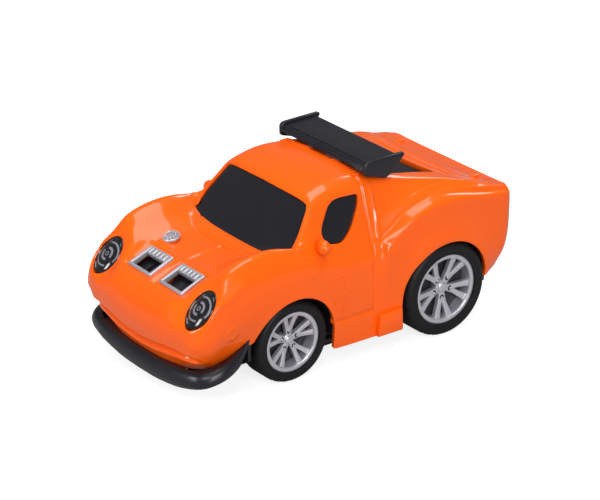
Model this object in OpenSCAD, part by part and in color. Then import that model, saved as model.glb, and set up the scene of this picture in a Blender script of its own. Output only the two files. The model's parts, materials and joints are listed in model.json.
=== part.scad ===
// Pull-back car: die-cast body on a moulded chassis, sprung motor on the rear axle.
// Units are millimetres. X runs across the car (+X is its left), -Y is the nose, Z is up.
// The origin is on the ground under the centre of the bounding box.

/* [Wheels] */
// Height of the front axle and radius of the front tyres
front_r = 9.18; // [8:0.01:10]
// Height of the rear axle and radius of the rear tyres
rear_r = 10.83; // [9:0.01:12]
// Radius of the front rims
front_rim_r = 6.83; // [5:0.01:8]
// Radius of the rear rims
rear_rim_r = 8.03; // [6:0.01:9]
// Position of the front axle along the car
front_y = -16.7; // [-20:0.1:-12]
// Position of the rear axle along the car
rear_y = 23.3; // [18:0.1:28]
// Outer face of the front tyres from the middle
front_out = 19.8; // [17:0.1:21]
// Outer face of the rear tyres from the middle
rear_out = 21.3; // [18:0.1:22]
// Width of the front tyres
front_w = 7.4; // [5:0.1:9]
// Width of the rear tyres
rear_w = 8.3; // [5:0.1:10]
// Radius of both axles
axle_r = 0.95; // [0.7:0.05:1.2]

/* [Body] */
// Clearance radius of the front wheel arch
front_arch_r = 10.3; // [9.5:0.1:11]
// Clearance radius of the rear wheel arch
rear_arch_r = 11.5; // [11:0.1:12.5]
// Running clearance of shafts in their bores
run_gap = 0.05; // [0.02:0.01:0.1]

/* [Motor] */
// Gear module
gear_m = 0.5; // [0.4:0.05:0.6]
// Teeth of the pinion on the rear axle
pinion_n = 12; // [10:1:16]
// Teeth of the large clutch wheel
clutch_n = 26; // [20:1:30]
// Teeth of the small clutch wheel
clutch_small_n = 12; // [10:1:16]
// Teeth of the spring wheel
spring_n = 30; // [24:1:36]
// Tooth thinning for backlash
backlash = 0.14; // [0.05:0.01:0.25]
// Position of the spring wheel along the car
spring_y = 7.3; // [5:0.1:9]
// Height of the spring wheel
spring_z = 13.4; // [12:0.1:15]
// Number of turns of the mainspring
spring_turns = 5; // [3:1:8]

/* [Hidden] */
orange = [1, 0.4, 0.09];
black = [0.08, 0.08, 0.09];
silver = [0.78, 0.79, 0.81];
steel = [0.6, 0.61, 0.63];
smoke = [0.1, 0.1, 0.12];
red = [0.7, 0.05, 0.05];
cream = [0.86, 0.84, 0.78];

// Body sections from the nose centre round to the tail centre. Each one climbs through seven
// points: lower edge, lower flank, widest line, shoulder, valley, roof rail, spine.
sec = [
 [[0, -41.8, 7.9], [0, -42.9, 11], [0, -43.7, 15.5], [0, -42.0, 20.0], [0, -38.8, 22.4], [0, -35.5, 23.4], [0, -32.5, 24.0]],
 [[10, -41.3, 7.9], [10.8, -42.8, 11], [11.4, -43.4, 15.5], [11.0, -42.1, 20.2], [8.6, -38.6, 22.9], [4.2, -34.2, 23.5], [0, -29.5, 24.4]],
 [[17.6, -37.7, 7.9], [19.5, -39.8, 11], [21.2, -41.4, 15.8], [20.8, -40.6, 22.0], [17.8, -37.0, 27.6], [8.8, -29.5, 24.8], [0, -26.5, 24.9]],
 [[18.9, -31.5, 10.2], [19.8, -31.5, 12.6], [21.6, -32.4, 18], [21.5, -32.2, 25.2], [18.4, -31.0, 31.4], [9.8, -25, 25.0], [0, -23.5, 25.2]],
 [[19.8, -24, 13.2], [20.6, -24, 15.6], [21.4, -24, 20], [21.3, -23.5, 26.6], [18.2, -22.8, 32.4], [10.5, -20, 25.6], [0, -20, 25.4]],
 [[19.9, -15, 9], [20.4, -15, 13], [21.2, -15, 19.8], [21.0, -15, 25.6], [18.9, -15.2, 30.2], [17.4, -15.2, 28.5], [0, -16.7, 25.2]],
 [[20, -7.5, 4.8], [20.4, -7.5, 11], [20.9, -7.5, 18.6], [20.6, -8, 24.4], [18.6, -9.5, 28.2], [14.5, -8.3, 38.2], [0, -9.8, 39.2]],
 [[20, -1.5, 4.6], [20.3, -1.5, 11], [20.4, -1.5, 17.5], [20.1, -1.5, 22.9], [18.3, -2, 27.0], [14.5, -2.5, 39.8], [0, -2.5, 40.8]],
 [[20, 4.5, 4.6], [20.1, 4.5, 11], [20.0, 4.5, 17.5], [19.5, 5, 22.2], [18.1, 5, 26.2], [14.4, 5, 39.3], [0, 5, 40.3]],
 [[20, 10, 4.6], [20.2, 9.5, 11], [20.5, 8.8, 25.4], [19.1, 8.5, 26.9], [17.6, 9, 29.8], [14.2, 8.8, 38.7], [0, 9.4, 39.2]],
 [[20, 15, 6.0], [20.6, 14.5, 12], [21.3, 14.4, 30.2], [19.3, 14.2, 31.5], [17.6, 14.6, 33.2], [14.8, 14.8, 37.1], [0, 15, 37.4]],
 [[20, 23, 8.0], [20.8, 23, 14], [21.6, 22, 31.6], [19.8, 22, 33.5], [18.2, 22.3, 33.9], [16.2, 22.5, 35.8], [0, 23, 35.2]],
 [[19.8, 30, 9.5], [20.6, 30, 15], [21.4, 30, 30.8], [19.6, 29.3, 32.5], [18.8, 29.3, 33.0], [17.5, 29.3, 34.2], [0, 29, 33.1]],
 [[19.2, 35.8, 11.0], [20.5, 35.8, 15], [21.2, 35.6, 29.9], [19.6, 35.0, 31.7], [19.0, 34.6, 31.9], [18.0, 33.6, 32.6], [0, 31.5, 32.4]],
 [[18.6, 40.4, 12.4], [20.4, 42.6, 17], [21.1, 42.2, 28.7], [20.3, 41.5, 30.4], [18.2, 39.6, 30.8], [14, 36.0, 31.5], [0, 33.8, 31.8]],
 [[12.8, 41.2, 12.6], [13.3, 43.4, 17.5], [13.6, 43.1, 28.2], [13, 41.6, 30.2], [12, 39.8, 30.4], [9, 37.5, 30.9], [0, 35.5, 31.4]],
 [[0, 41.4, 12.6], [0, 43.6, 17.5], [0, 43.2, 28.2], [0, 41.7, 30.1], [0, 40.3, 30.3], [0, 38.6, 30.7], [0, 37, 31.1]]];
last = len(sec) - 1;
// Rounding of each line where it crosses a section, 1 soft to 0 sharp
soft_v = [[0.6, 0.6, 0.6, 0.6, 0.6, 0.6, 0.6, 0.6, 0.6, 0.6, 0.6, 0.6, 0.6, 0.6, 0.6, 0.6, 0.6],
          [1, 1, 1, 1, 1, 1, 1, 1, 1, 1, 1, 1, 1, 1, 1, 1, 1],
          [1, 1, 1, 1, 1, 1, 1, 1, 1, 0.4, 0.35, 0.35, 0.35, 0.35, 0.45, 0.45, 0.45],
          [1, 1, 1, 1, 1, 0.9, 0.7, 0.7, 0.7, 0.4, 0.35, 0.35, 0.35, 0.35, 0.3, 0.3, 0.3],
          [1, 1, 0.9, 0.8, 0.7, 0.7, 0.4, 0.4, 0.4, 0.6, 0.6, 0.6, 0.6, 0.6, 1, 1, 1],
          [1, 1, 1, 1, 1, 0.3, 0.45, 0.45, 0.45, 0.45, 0.35, 0.35, 0.35, 0.6, 1, 1, 1],
          [1, 1, 1, 1, 1, 1, 1, 1, 1, 1, 1, 1, 1, 1, 1, 1, 1]];
function soft_u(i, j) = i == 5 ? (j > 4 ? 0.15 : j == 4 ? 0.5 : 1)
                      : i == 6 ? (j > 4 ? 0.35 : j == 4 ? 0.6 : 1)
                      : i == 9 && j > 4 ? 0.4 : 1;
function mirrored(p) = [-p[0], p[1], p[2]];
function section(i) = i < 0 ? [for (p = sec[1]) mirrored(p)]
                    : i > last ? [for (p = sec[last - 1]) mirrored(p)] : sec[i];
function corner(a, p, b, r, d) =
    let (h = max(r, 0.001) / 2, s = (d + h) / (2 * h), q0 = p + (a - p) * h, q1 = p + (b - p) * h)
    abs(d) < h ? q0 * (1 - s) * (1 - s) + p * 2 * s * (1 - s) + q1 * s * s
               : d < 0 ? p - (a - p) * d : p + (b - p) * d;
function line_at(u, j) = let (i = round(u))
    corner(section(i - 1)[j], section(i)[j], section(i + 1)[j], soft_u(i, j), u - i);
function soft_at(u, j) = let (i = min(floor(u), last - 1)) soft_v[j][i] + (soft_v[j][i + 1] - soft_v[j][i]) * (u - i);
function climb(u, vs) = let (l = [for (j = [0:6]) line_at(u, j)], m = concat(l, [mirrored(l[5])]))
    [for (v = vs) let (k = round(v))
        corner(m[max(k - 1, 0)], m[k], m[k + 1], k == 0 ? 0 : soft_at(u, k), v - k)];

// Closed solid of the body's outer form with du and dv steps from line to line
module body_form(du, dv) {
    nu = last * du;
    nv = 6 * dv;
    vs = [for (j = [0:nv]) j / dv];
    half = [for (i = [0:nu]) each climb(i / du, vs)];
    count = (nu + 1) * (nv + 1);
    points = concat(half, [for (p = half) mirrored(p)]);
    function at(s, i, j) = (s == 0 || i == 0 || i == nu || j == nv ? 0 : count) + i * (nv + 1) + j;
    flanks = [for (i = [0:nu - 1], j = [0:nv - 1]) each
        [[at(0, i, j), at(0, i, j + 1), at(0, i + 1, j + 1)], [at(0, i, j), at(0, i + 1, j + 1), at(0, i + 1, j)],
         [at(1, i, j), at(1, i + 1, j + 1), at(1, i, j + 1)], [at(1, i, j), at(1, i + 1, j), at(1, i + 1, j + 1)]]];
    floor_strip = [for (i = [0:nu - 1]) each
        [[at(0, i, 0), at(0, i + 1, 0), at(1, i + 1, 0)], [at(0, i, 0), at(1, i + 1, 0), at(1, i, 0)]]];
    faces = [for (f = concat(flanks, floor_strip)) if (f[0] != f[1] && f[1] != f[2] && f[0] != f[2]) f];
    polyhedron(points = points, faces = faces, convexity = 8);
}

module both_sides() {
    children();
    mirror([1, 0, 0]) children();
}

// Stands a flat outline up in the Y-Z plane and runs it along X
module along_x(x, y, z) translate([x, y, z]) rotate([90, 0, 90]) children();

module disc_x(x, y, z, r, w) along_x(x, y, z) cylinder(r = r, h = w, $fn = 48);

// Hood vent, headlight, badge and tail light places
vent_at = [5.5, -34.8, 23.7];
vent_tilt = 22;
vent_roll = -8;
vent_w = 8.4;
vent_l = 7.0;
lamp_at = [17.6, -38.2, 22.2];
lamp_turn = 36;
lamp_lean = 52;
badge_at = [-10, -26.6, 25.6];
tail_at = [12.6, 43.05, 23.6];
screen_lean = 63.3;
screen_at = [0, -12.9, 32.6];
louvre_at = [0, 18.8, 36.0];
louvre_lean = -17;
louvre_l = 15.6;
louvre_w = 25;

screen_half = [[0, -7.5], [8.5, -7.2], [13.2, -6.3], [16.0, -4.7], [14.2, 2.0], [13.1, 4.9], [9, 5.3], [0, 5.5]];
side_glass = [[3.0, 36.0], [-3.6, 36.1], [-7.6, 30.8], [-5.7, 28.4], [-2.8, 28.2], [0.6, 31.0]];

function both_halves(h) = concat(h, [for (i = [len(h) - 1:-1:0]) [-h[i][0], h[i][1]]]);

module at_screen() translate(screen_at) rotate([screen_lean, 0, 0]) children();
module at_vent() translate(vent_at) rotate([vent_tilt, vent_roll, 0]) children();
module at_louvre() translate(louvre_at) rotate([louvre_lean, 0, 0]) children();
module at_lamp() translate(lamp_at) rotate([0, 0, lamp_turn]) rotate([lamp_lean, 0, 0]) children();

module lamp_outline(r) hull() {
    translate([0.6, 1.0]) circle(r = r * 0.74, $fn = 32);
    translate([-1.7, -2.7]) circle(r = r * 0.53, $fn = 24);
}

module side_cut() hull() for (p = side_glass) along_x(9, p[0], p[1]) cylinder(r = 0.4, h = 13, $fn = 12);

module mirror_pod() hull() {
    translate([20.6, -9.9, 29.6]) sphere(r = 1.15, $fn = 16);
    translate([19.9, -9.2, 29.3]) sphere(r = 1.0, $fn = 16);
    translate([18.2, -9.6, 27.6]) sphere(r = 0.7, $fn = 16);
}

module sill_step() hull() {
    translate([19.2, 4.6, 4.6]) cube([1.5, 6.8, 5.2]);
    translate([19.2, 4.6, 4.6]) cube([1.9, 6.4, 1]);
}

module body_shell() color(orange) difference() {
    union() {
        difference() {
            body_form(3, 3);
            scale([0.93, 0.967, 0.957]) body_form(2, 2);
        }
        both_sides() mirror_pod();
        both_sides() sill_step();
        for (p = [[-33, 23.4], [32.6, 31.5]]) hull() {
            translate([0, p[0], 4.5]) cylinder(r = 2, h = 1, $fn = 24);
            translate([0, p[0], p[1] - 1]) cylinder(r = 2, h = 1, $fn = 24);
        }
    }
    both_sides() {
        disc_x(14, front_y, front_r, front_arch_r, 10);
        disc_x(14, rear_y, rear_r - 0.2, rear_arch_r, 10);
        translate([14, front_y - front_arch_r, -4]) cube([10, 2 * front_arch_r, 4 + front_r]);
        translate([14, rear_y - rear_arch_r, -4]) cube([10, 2 * rear_arch_r, 3 + rear_r]);
        side_cut();
        at_vent() hull() translate([0, 0, -1]) cube([vent_w - 1, vent_l - 1, 9], center = true);
        at_vent() translate([0, 0, 1.47]) cube([vent_w + 0.1, vent_l + 0.1, 4], center = true);
        at_lamp() translate([0, 0, -0.5]) linear_extrude(8) lamp_outline(3.35);
        translate([tail_at[0], tail_at[1] - 0.8, tail_at[2]]) rotate([-90, 0, 0]) scale([1.3, 1, 1]) cylinder(r = 2.45, h = 4, $fn = 36);
    }
    at_screen() translate([0, 0, -5]) linear_extrude(9) polygon(both_halves(screen_half));
    at_louvre() cube([louvre_w, louvre_l, 8], center = true);
    translate(badge_at) rotate([14, 0, 0]) translate([0, 0, -0.4]) scale([1.1, 0.9, 1]) cylinder(r = 1.85, h = 4, $fn = 32);
    for (y = [-33, 32.6]) translate([0, y, 3]) cylinder(r = 0.8, h = 12, $fn = 24);
}

module window_glazing() color(smoke) {
    at_screen() translate([0, 0, -1.5]) linear_extrude(1.4) offset(delta = -0.12) polygon(both_halves(screen_half));
    both_sides() multmatrix([[1, 0, -0.375, 16.3 + 0.375 * 32.2], [0, 1, 0, 0], [0, 0, 1, 0]])
        along_x(-1.75, 0, 0) linear_extrude(1.5) offset(delta = 0.2) polygon(side_glass);
    translate([-10.2, -10.4, 35.2]) cube([20.4, 7, 0.9]);
    translate([-13.6, -3.6, 35.2]) cube([27.2, 6.2, 0.9]);
}

module headlight() at_lamp() translate([0, 0, -0.4]) {
    linear_extrude(1.1) lamp_outline(3.25);
    translate([0, -0.2, 1.0]) cylinder(r1 = 2.1, r2 = 1.5, h = 0.5, $fn = 40);
}

module hood_vent() at_vent() {
    difference() {
        cube([vent_w, vent_l, 1.0], center = true);
        translate([0, -0.9, 0]) cube([vent_w - 2.0, vent_l - 3.2, 2], center = true);
    }
    for (i = [0:4]) translate([-2.9 + i * 1.45, 1.6, 0.5]) rotate([-90, 0, 0]) cylinder(r = 0.5, h = 1.4, $fn = 16);
}

module hood_badge() color(silver) translate(badge_at) rotate([14, 0, 0]) translate([0, 0, -0.35])
    scale([1.1, 0.9, 1]) cylinder(r1 = 1.8, r2 = 1.5, h = 1.0, $fn = 40);

module tail_light() translate([tail_at[0], tail_at[1] - 0.7, tail_at[2]]) rotate([-90, 0, 0])
    scale([1.3, 1, 1]) cylinder(r1 = 2.4, r2 = 2.1, h = 0.85, $fn = 40);

module rear_wing() color(black) {
    along_x(-14.4, 0, 0) linear_extrude(28.8) polygon([[5.4, 40.7], [9, 40.9], [14.6, 41.6], [14.6, 42.1], [9, 42.0], [5.4, 41.7]]);
    both_sides() along_x(14.3, 0, 0) linear_extrude(1.0)
        polygon([[5.2, 39.6], [5.3, 42.1], [5.9, 42.6], [15.5, 42.8], [15.9, 42.3], [15.2, 41.4], [11.6, 38.2], [10.6, 37.9]]);
    for (x = [-5, 5]) translate([x - 0.8, 7.2, 39.55]) cube([1.6, 3.4, 1.4]);
}

module engine_louvre() color(black) at_louvre() {
    translate([0, 0, -1.9]) cube([louvre_w - 0.3, louvre_l - 0.3, 1], center = true);
    for (i = [0:6]) translate([0, -6.4 + i * 2.1, -1.15]) rotate([24, 0, 0]) cube([louvre_w - 0.6, 1.9, 0.7], center = true);
}

lip_top = [[0, -42.9], [6, -42.6], [11, -41.3], [15, -38.5], [17.7, -34.5], [19.0, -30.2], [19.1, -27.8]];
lip_mid = [[0, -43.2], [8, -42.8], [14, -41.2], [18, -38.6], [19.4, -34.8], [19.4, -30], [19.3, -27.8]];
lip_low = [[0, -42.1], [8, -41.3], [12.8, -38.6], [14.8, -35.4], [15.4, -31], [15.4, -27.8]];
lip_top_in = [[0, -41.2], [6, -40.9], [10.4, -39.6], [13.8, -37.2], [16.2, -33.7], [17.4, -30], [17.5, -27.0]];
lip_low_in = [[0, -41], [5.5, -40.3], [10, -37.9], [12.6, -34.2], [13.7, -30.7], [13.8, -27.0]];
plate_half = [[0, -41.4], [9, -39.6], [13, -35.5], [14.4, -31], [14.4, -27.8], [11.3, -27.8], [11.3, -6.0],
              [14.5, -6.0], [14.5, 11.4], [11.3, 11.4], [11.3, 34.9], [0, 34.9]];
module slice(h, z) translate([0, 0, z]) linear_extrude(0.2) polygon(both_halves(h));

module chassis() color(black) difference() {
    union() {
        translate([0, 0, 2.8]) linear_extrude(1.6) polygon(both_halves(plate_half));
        difference() {
            hull() { slice(lip_low, 2.8); slice(lip_mid, 5.6); slice(lip_top, 7.6); }
            hull() { slice(lip_low_in, 4.4); slice(lip_top_in, 7.8); }
        }
        along_x(-14.5, 0, 0) linear_extrude(29)
            polygon([[34.6, 2.8], [36.8, 5.2], [38.4, 11.8], [37, 11.8], [35.4, 6.2], [34.6, 4.4]]);
        for (x = [-11, 9]) translate([x, front_y - 2.2, 4.2]) cube([2, 4.4, front_r - 2.4]);
        for (x = [-13.8, 12.6]) translate([x, -5.4, 4.2]) cube([1.2, 16, 5]);
        for (y = [-33, 32.6]) translate([0, y, 3]) cylinder(r = 2.6, h = 1.45, $fn = 36);
    }
    disc_x(-20, front_y, front_r, axle_r + run_gap, 40);
    for (y = [-33, 32.6]) {
        translate([0, y, 2]) cylinder(r = 0.85, h = 6, $fn = 24);
        translate([0, y, 2]) cylinder(r = 1.9, h = 1.7, $fn = 36);
    }
}

module body_screws() color(steel) for (y = [-33, 32.6]) translate([0, y, 0]) {
    translate([0, 0, 2.9]) cylinder(r = 1.75, h = 0.8, $fn = 36);
    translate([0, 0, 3.6]) cylinder(r = 0.75, h = 8, $fn = 24);
}

module tyre(r, rim, out, w, y) translate([out - w, y, r]) rotate([90, 0, 90]) rotate_extrude($fn = 96)
    polygon([[rim + 0.02, 0.2], [r - 1, 0], [r - 0.2, 0.4], [r, 1], [r, w - 1.4], [r - 0.25, w - 0.7],
             [r - 0.9, w - 0.15], [rim + 0.6, w], [rim + 0.02, w - 0.3]]);

module rim(r, tyre_r, out, w, y) along_x(out - w + 0.4, y, tyre_r) difference() {
    depth = w - 0.85;
    union() {
        difference() {
            cylinder(r = r, h = depth, $fn = 72);
            translate([0, 0, 2.2]) cylinder(r1 = r - 1.0, r2 = r - 0.5, h = depth, $fn = 72);
        }
        translate([0, 0, 1]) cylinder(r = 2, h = depth - 1.9, $fn = 40);
        translate([0, 0, depth - 2.3]) linear_extrude(1.3) for (i = [0:4], s = [-1, 1])
            rotate(i * 72 + s * 13 + 90) translate([0.8, -0.42]) square([r - 1.5, 0.84]);
    }
    translate([0, 0, -1]) cylinder(r = axle_r, h = depth - 0.75, $fn = 32);
}

function inv_deg(a) = tan(a) * 180 / PI - a;
function half_tooth(n, r) = let (rp = gear_m * n / 2, rb = rp * cos(20), a = acos(min(1, rb / r)))
    90 / n - backlash / 4 / rp * 180 / PI + inv_deg(20) - inv_deg(a);
function gear_outline(n) = let (rp = gear_m * n / 2, rb = rp * cos(20), ra = rp + 0.7 * gear_m, rf = rp - 1.15 * gear_m,
                                r1 = max(rb, rf + 0.05), rs = [r1, (r1 * 2 + ra) / 3, (r1 + ra * 2) / 3, ra])
    [for (k = [0:n - 1]) each concat(
        [let (a = 360 / n * k - half_tooth(n, r1) - 10 / n) rf * [cos(a), sin(a)]],
        [for (r = rs) let (a = 360 / n * k - half_tooth(n, r)) r * [cos(a), sin(a)]],
        [for (i = [3:-1:0]) let (a = 360 / n * k + half_tooth(n, rs[i])) rs[i] * [cos(a), sin(a)]],
        [let (a = 360 / n * k + half_tooth(n, r1) + 10 / n) rf * [cos(a), sin(a)]])];

// Triangle of gear centres in the Y-Z plane: axle, spring wheel and clutch above the two
axle_p = [rear_y, rear_r];
spring_p = [spring_y, spring_z];
mesh_a = gear_m * (pinion_n + clutch_n) / 2 + 0.1;
mesh_b = gear_m * (clutch_small_n + spring_n) / 2 + 0.1;
base_v = spring_p - axle_p;
base_l = norm(base_v);
foot = (mesh_a * mesh_a - mesh_b * mesh_b + base_l * base_l) / (2 * base_l);
rise = sqrt(mesh_a * mesh_a - foot * foot);
clutch_p = axle_p + base_v / base_l * foot + [-base_v[1], base_v[0]] / base_l * -rise;
dir_a = atan2(clutch_p[1] - axle_p[1], clutch_p[0] - axle_p[0]);
dir_b = atan2(spring_p[1] - clutch_p[1], spring_p[0] - clutch_p[0]);

module axle_pinion() color(cream) difference() {
    along_x(-5.2, axle_p[0], axle_p[1]) rotate(dir_a) linear_extrude(2.8) polygon(gear_outline(pinion_n));
    disc_x(-6, axle_p[0], axle_p[1], axle_r, 6);
}

module clutch_gear() color(cream) difference() {
    union() {
        along_x(-4.8, clutch_p[0], clutch_p[1]) rotate(dir_a + 180 + 180 / clutch_n) linear_extrude(2) polygon(gear_outline(clutch_n));
        along_x(-2.8, clutch_p[0], clutch_p[1]) rotate(dir_b) linear_extrude(5.4) polygon(gear_outline(clutch_small_n));
    }
    disc_x(-6, clutch_p[0], clutch_p[1], 0.8 + run_gap, 10);
}

module spring_gear() color(cream) difference() {
    union() {
        along_x(0.3, spring_p[0], spring_p[1]) rotate(dir_b + 180 + 180 / spring_n) linear_extrude(2) polygon(gear_outline(spring_n));
        disc_x(2.2, spring_p[0], spring_p[1], 7.0, 3.5);
    }
    disc_x(2.3, spring_p[0], spring_p[1], 6.3, 6);
    disc_x(0, spring_p[0], spring_p[1], 1 + run_gap, 6);
}

function coil(a, side) = let (r = 1.5 + 4.3 * a / (360 * spring_turns) + side * 0.14) r * [cos(a), sin(a)];
module mainspring() color(steel) along_x(2.6, spring_p[0], spring_p[1]) linear_extrude(2.8)
    polygon(concat([for (a = [0:15:360 * spring_turns]) coil(a, 1)], [for (a = [360 * spring_turns:-15:0]) coil(a, -1)]));

module spring_arbor() color(steel) disc_x(-7, spring_p[0], spring_p[1], 1, 14);
module clutch_arbor() color(steel) disc_x(-9.6, clutch_p[0], clutch_p[1], 0.8, 16.5);

case_outline = [[-1.9, 4.45], [28.4, 4.45], [28.4, 15.2], [25.6, 23.0], [21.8, 26.4], [12.2, 26.4], [-1.9, 21.8]];
module case_half() color(black) difference() {
    along_x(0, 0, 0) linear_extrude(7) polygon(case_outline);
    along_x(-1, 0, 0) linear_extrude(7) offset(delta = -0.8) polygon(case_outline);
    disc_x(-1, axle_p[0], axle_p[1], axle_r + run_gap, 10);
    disc_x(-1, spring_p[0], spring_p[1], 1, 10);
    disc_x(-1, clutch_p[0], clutch_p[1], 0.8 + run_gap, 10);
}

body_shell();
window_glazing();
color(black) headlight();  // headlight_left
color(black) mirror([1, 0, 0]) headlight();  // headlight_right
color(silver) hood_vent();  // hood_vent_left
color(silver) mirror([1, 0, 0]) hood_vent();  // hood_vent_right
hood_badge();
rear_wing();
engine_louvre();
chassis();
color(red) tail_light();  // tail_light_left
color(red) mirror([1, 0, 0]) tail_light();  // tail_light_right
color(steel) disc_x(-17.5, front_y, front_r, axle_r, 35);  // front_axle
color(silver) rim(front_rim_r, front_r, front_out, front_w, front_y);  // front_rim_left
color(silver) mirror([1, 0, 0]) rim(front_rim_r, front_r, front_out, front_w, front_y);  // front_rim_right
color(black) tyre(front_r, front_rim_r, front_out, front_w, front_y);  // front_tyre_left
color(black) mirror([1, 0, 0]) tyre(front_r, front_rim_r, front_out, front_w, front_y);  // front_tyre_right
color(steel) disc_x(-19, rear_y, rear_r, axle_r, 38);  // rear_axle
color(silver) rim(rear_rim_r, rear_r, rear_out, rear_w, rear_y);  // rear_rim_left
color(silver) mirror([1, 0, 0]) rim(rear_rim_r, rear_r, rear_out, rear_w, rear_y);  // rear_rim_right
color(black) tyre(rear_r, rear_rim_r, rear_out, rear_w, rear_y);  // rear_tyre_left
color(black) mirror([1, 0, 0]) tyre(rear_r, rear_rim_r, rear_out, rear_w, rear_y);  // rear_tyre_right
axle_pinion();
case_half();  // motor_case_left
mirror([1, 0, 0]) case_half();  // motor_case_right
spring_gear();
mainspring();
spring_arbor();
clutch_gear();
clutch_arbor();
body_screws();
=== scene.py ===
"""Looks of a small pull-back car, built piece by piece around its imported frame.

Every size in the classes is in millimetres in the frame's own axes: +X is the car's left,
-Y is the nose, Z is up. Meshes are scaled to metres when they are made.
"""

from __future__ import annotations

import json
import logging
import math
from dataclasses import dataclass, field
from enum import Enum
from typing import Callable, Iterable, Sequence

import bpy
import numpy as np
from mathutils import Matrix, Vector

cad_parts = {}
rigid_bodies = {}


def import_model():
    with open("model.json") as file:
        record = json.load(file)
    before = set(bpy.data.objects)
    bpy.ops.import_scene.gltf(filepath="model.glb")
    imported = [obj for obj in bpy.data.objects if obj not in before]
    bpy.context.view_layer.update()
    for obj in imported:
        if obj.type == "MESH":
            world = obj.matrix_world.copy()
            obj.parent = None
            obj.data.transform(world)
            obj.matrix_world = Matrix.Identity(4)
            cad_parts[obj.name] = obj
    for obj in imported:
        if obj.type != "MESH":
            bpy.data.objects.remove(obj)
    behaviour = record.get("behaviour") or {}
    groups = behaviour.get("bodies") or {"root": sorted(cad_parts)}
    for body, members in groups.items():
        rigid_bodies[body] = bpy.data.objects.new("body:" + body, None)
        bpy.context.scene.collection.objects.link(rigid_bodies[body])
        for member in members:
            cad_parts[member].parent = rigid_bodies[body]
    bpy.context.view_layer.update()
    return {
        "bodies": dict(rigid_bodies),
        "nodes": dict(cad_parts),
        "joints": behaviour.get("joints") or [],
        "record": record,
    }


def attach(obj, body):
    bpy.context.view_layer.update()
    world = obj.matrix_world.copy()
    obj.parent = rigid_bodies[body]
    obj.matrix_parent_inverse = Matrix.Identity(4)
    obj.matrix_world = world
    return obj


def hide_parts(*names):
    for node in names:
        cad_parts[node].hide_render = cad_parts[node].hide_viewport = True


MM = 0.001
STAND_UP = Matrix(((0, 1, 0), (0, 0, 1), (1, 0, 0))).to_4x4()  # turns what was spun round X to stand on Z
FAR = 1e3  # gap, in millimetres, of a place that an outline doesn't concern
LOG = logging.getLogger("pull_back_car")
Field = Callable[[np.ndarray], np.ndarray]


class Side(Enum):
    """The two sides of the car, as the sign of X."""

    LEFT = 1
    RIGHT = -1

    @property
    def tag(self) -> str:
        """The side's name as the names of pieces hold it."""
        return self.name.lower()


class Axle(Enum):
    """The two wheelsets, by the name of the body that each one is."""

    FRONT = "front"
    REAR = "rear"


class Slot(Enum):
    """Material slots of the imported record."""

    PAINT = "orange_paint"
    WINDOW = "smoked_window"
    LAMP = "lamp_black"
    BRIGHT = "bright_plating"
    BLACK = "black_plastic"
    RED = "red_lens"
    RIM = "silver_rim"
    TYRE = "tyre_rubber"
    GEAR = "gear_plastic"
    CASE = "case_plastic"
    STEEL = "steel"


# --------------------------------------------------------------------------- bench


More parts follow.
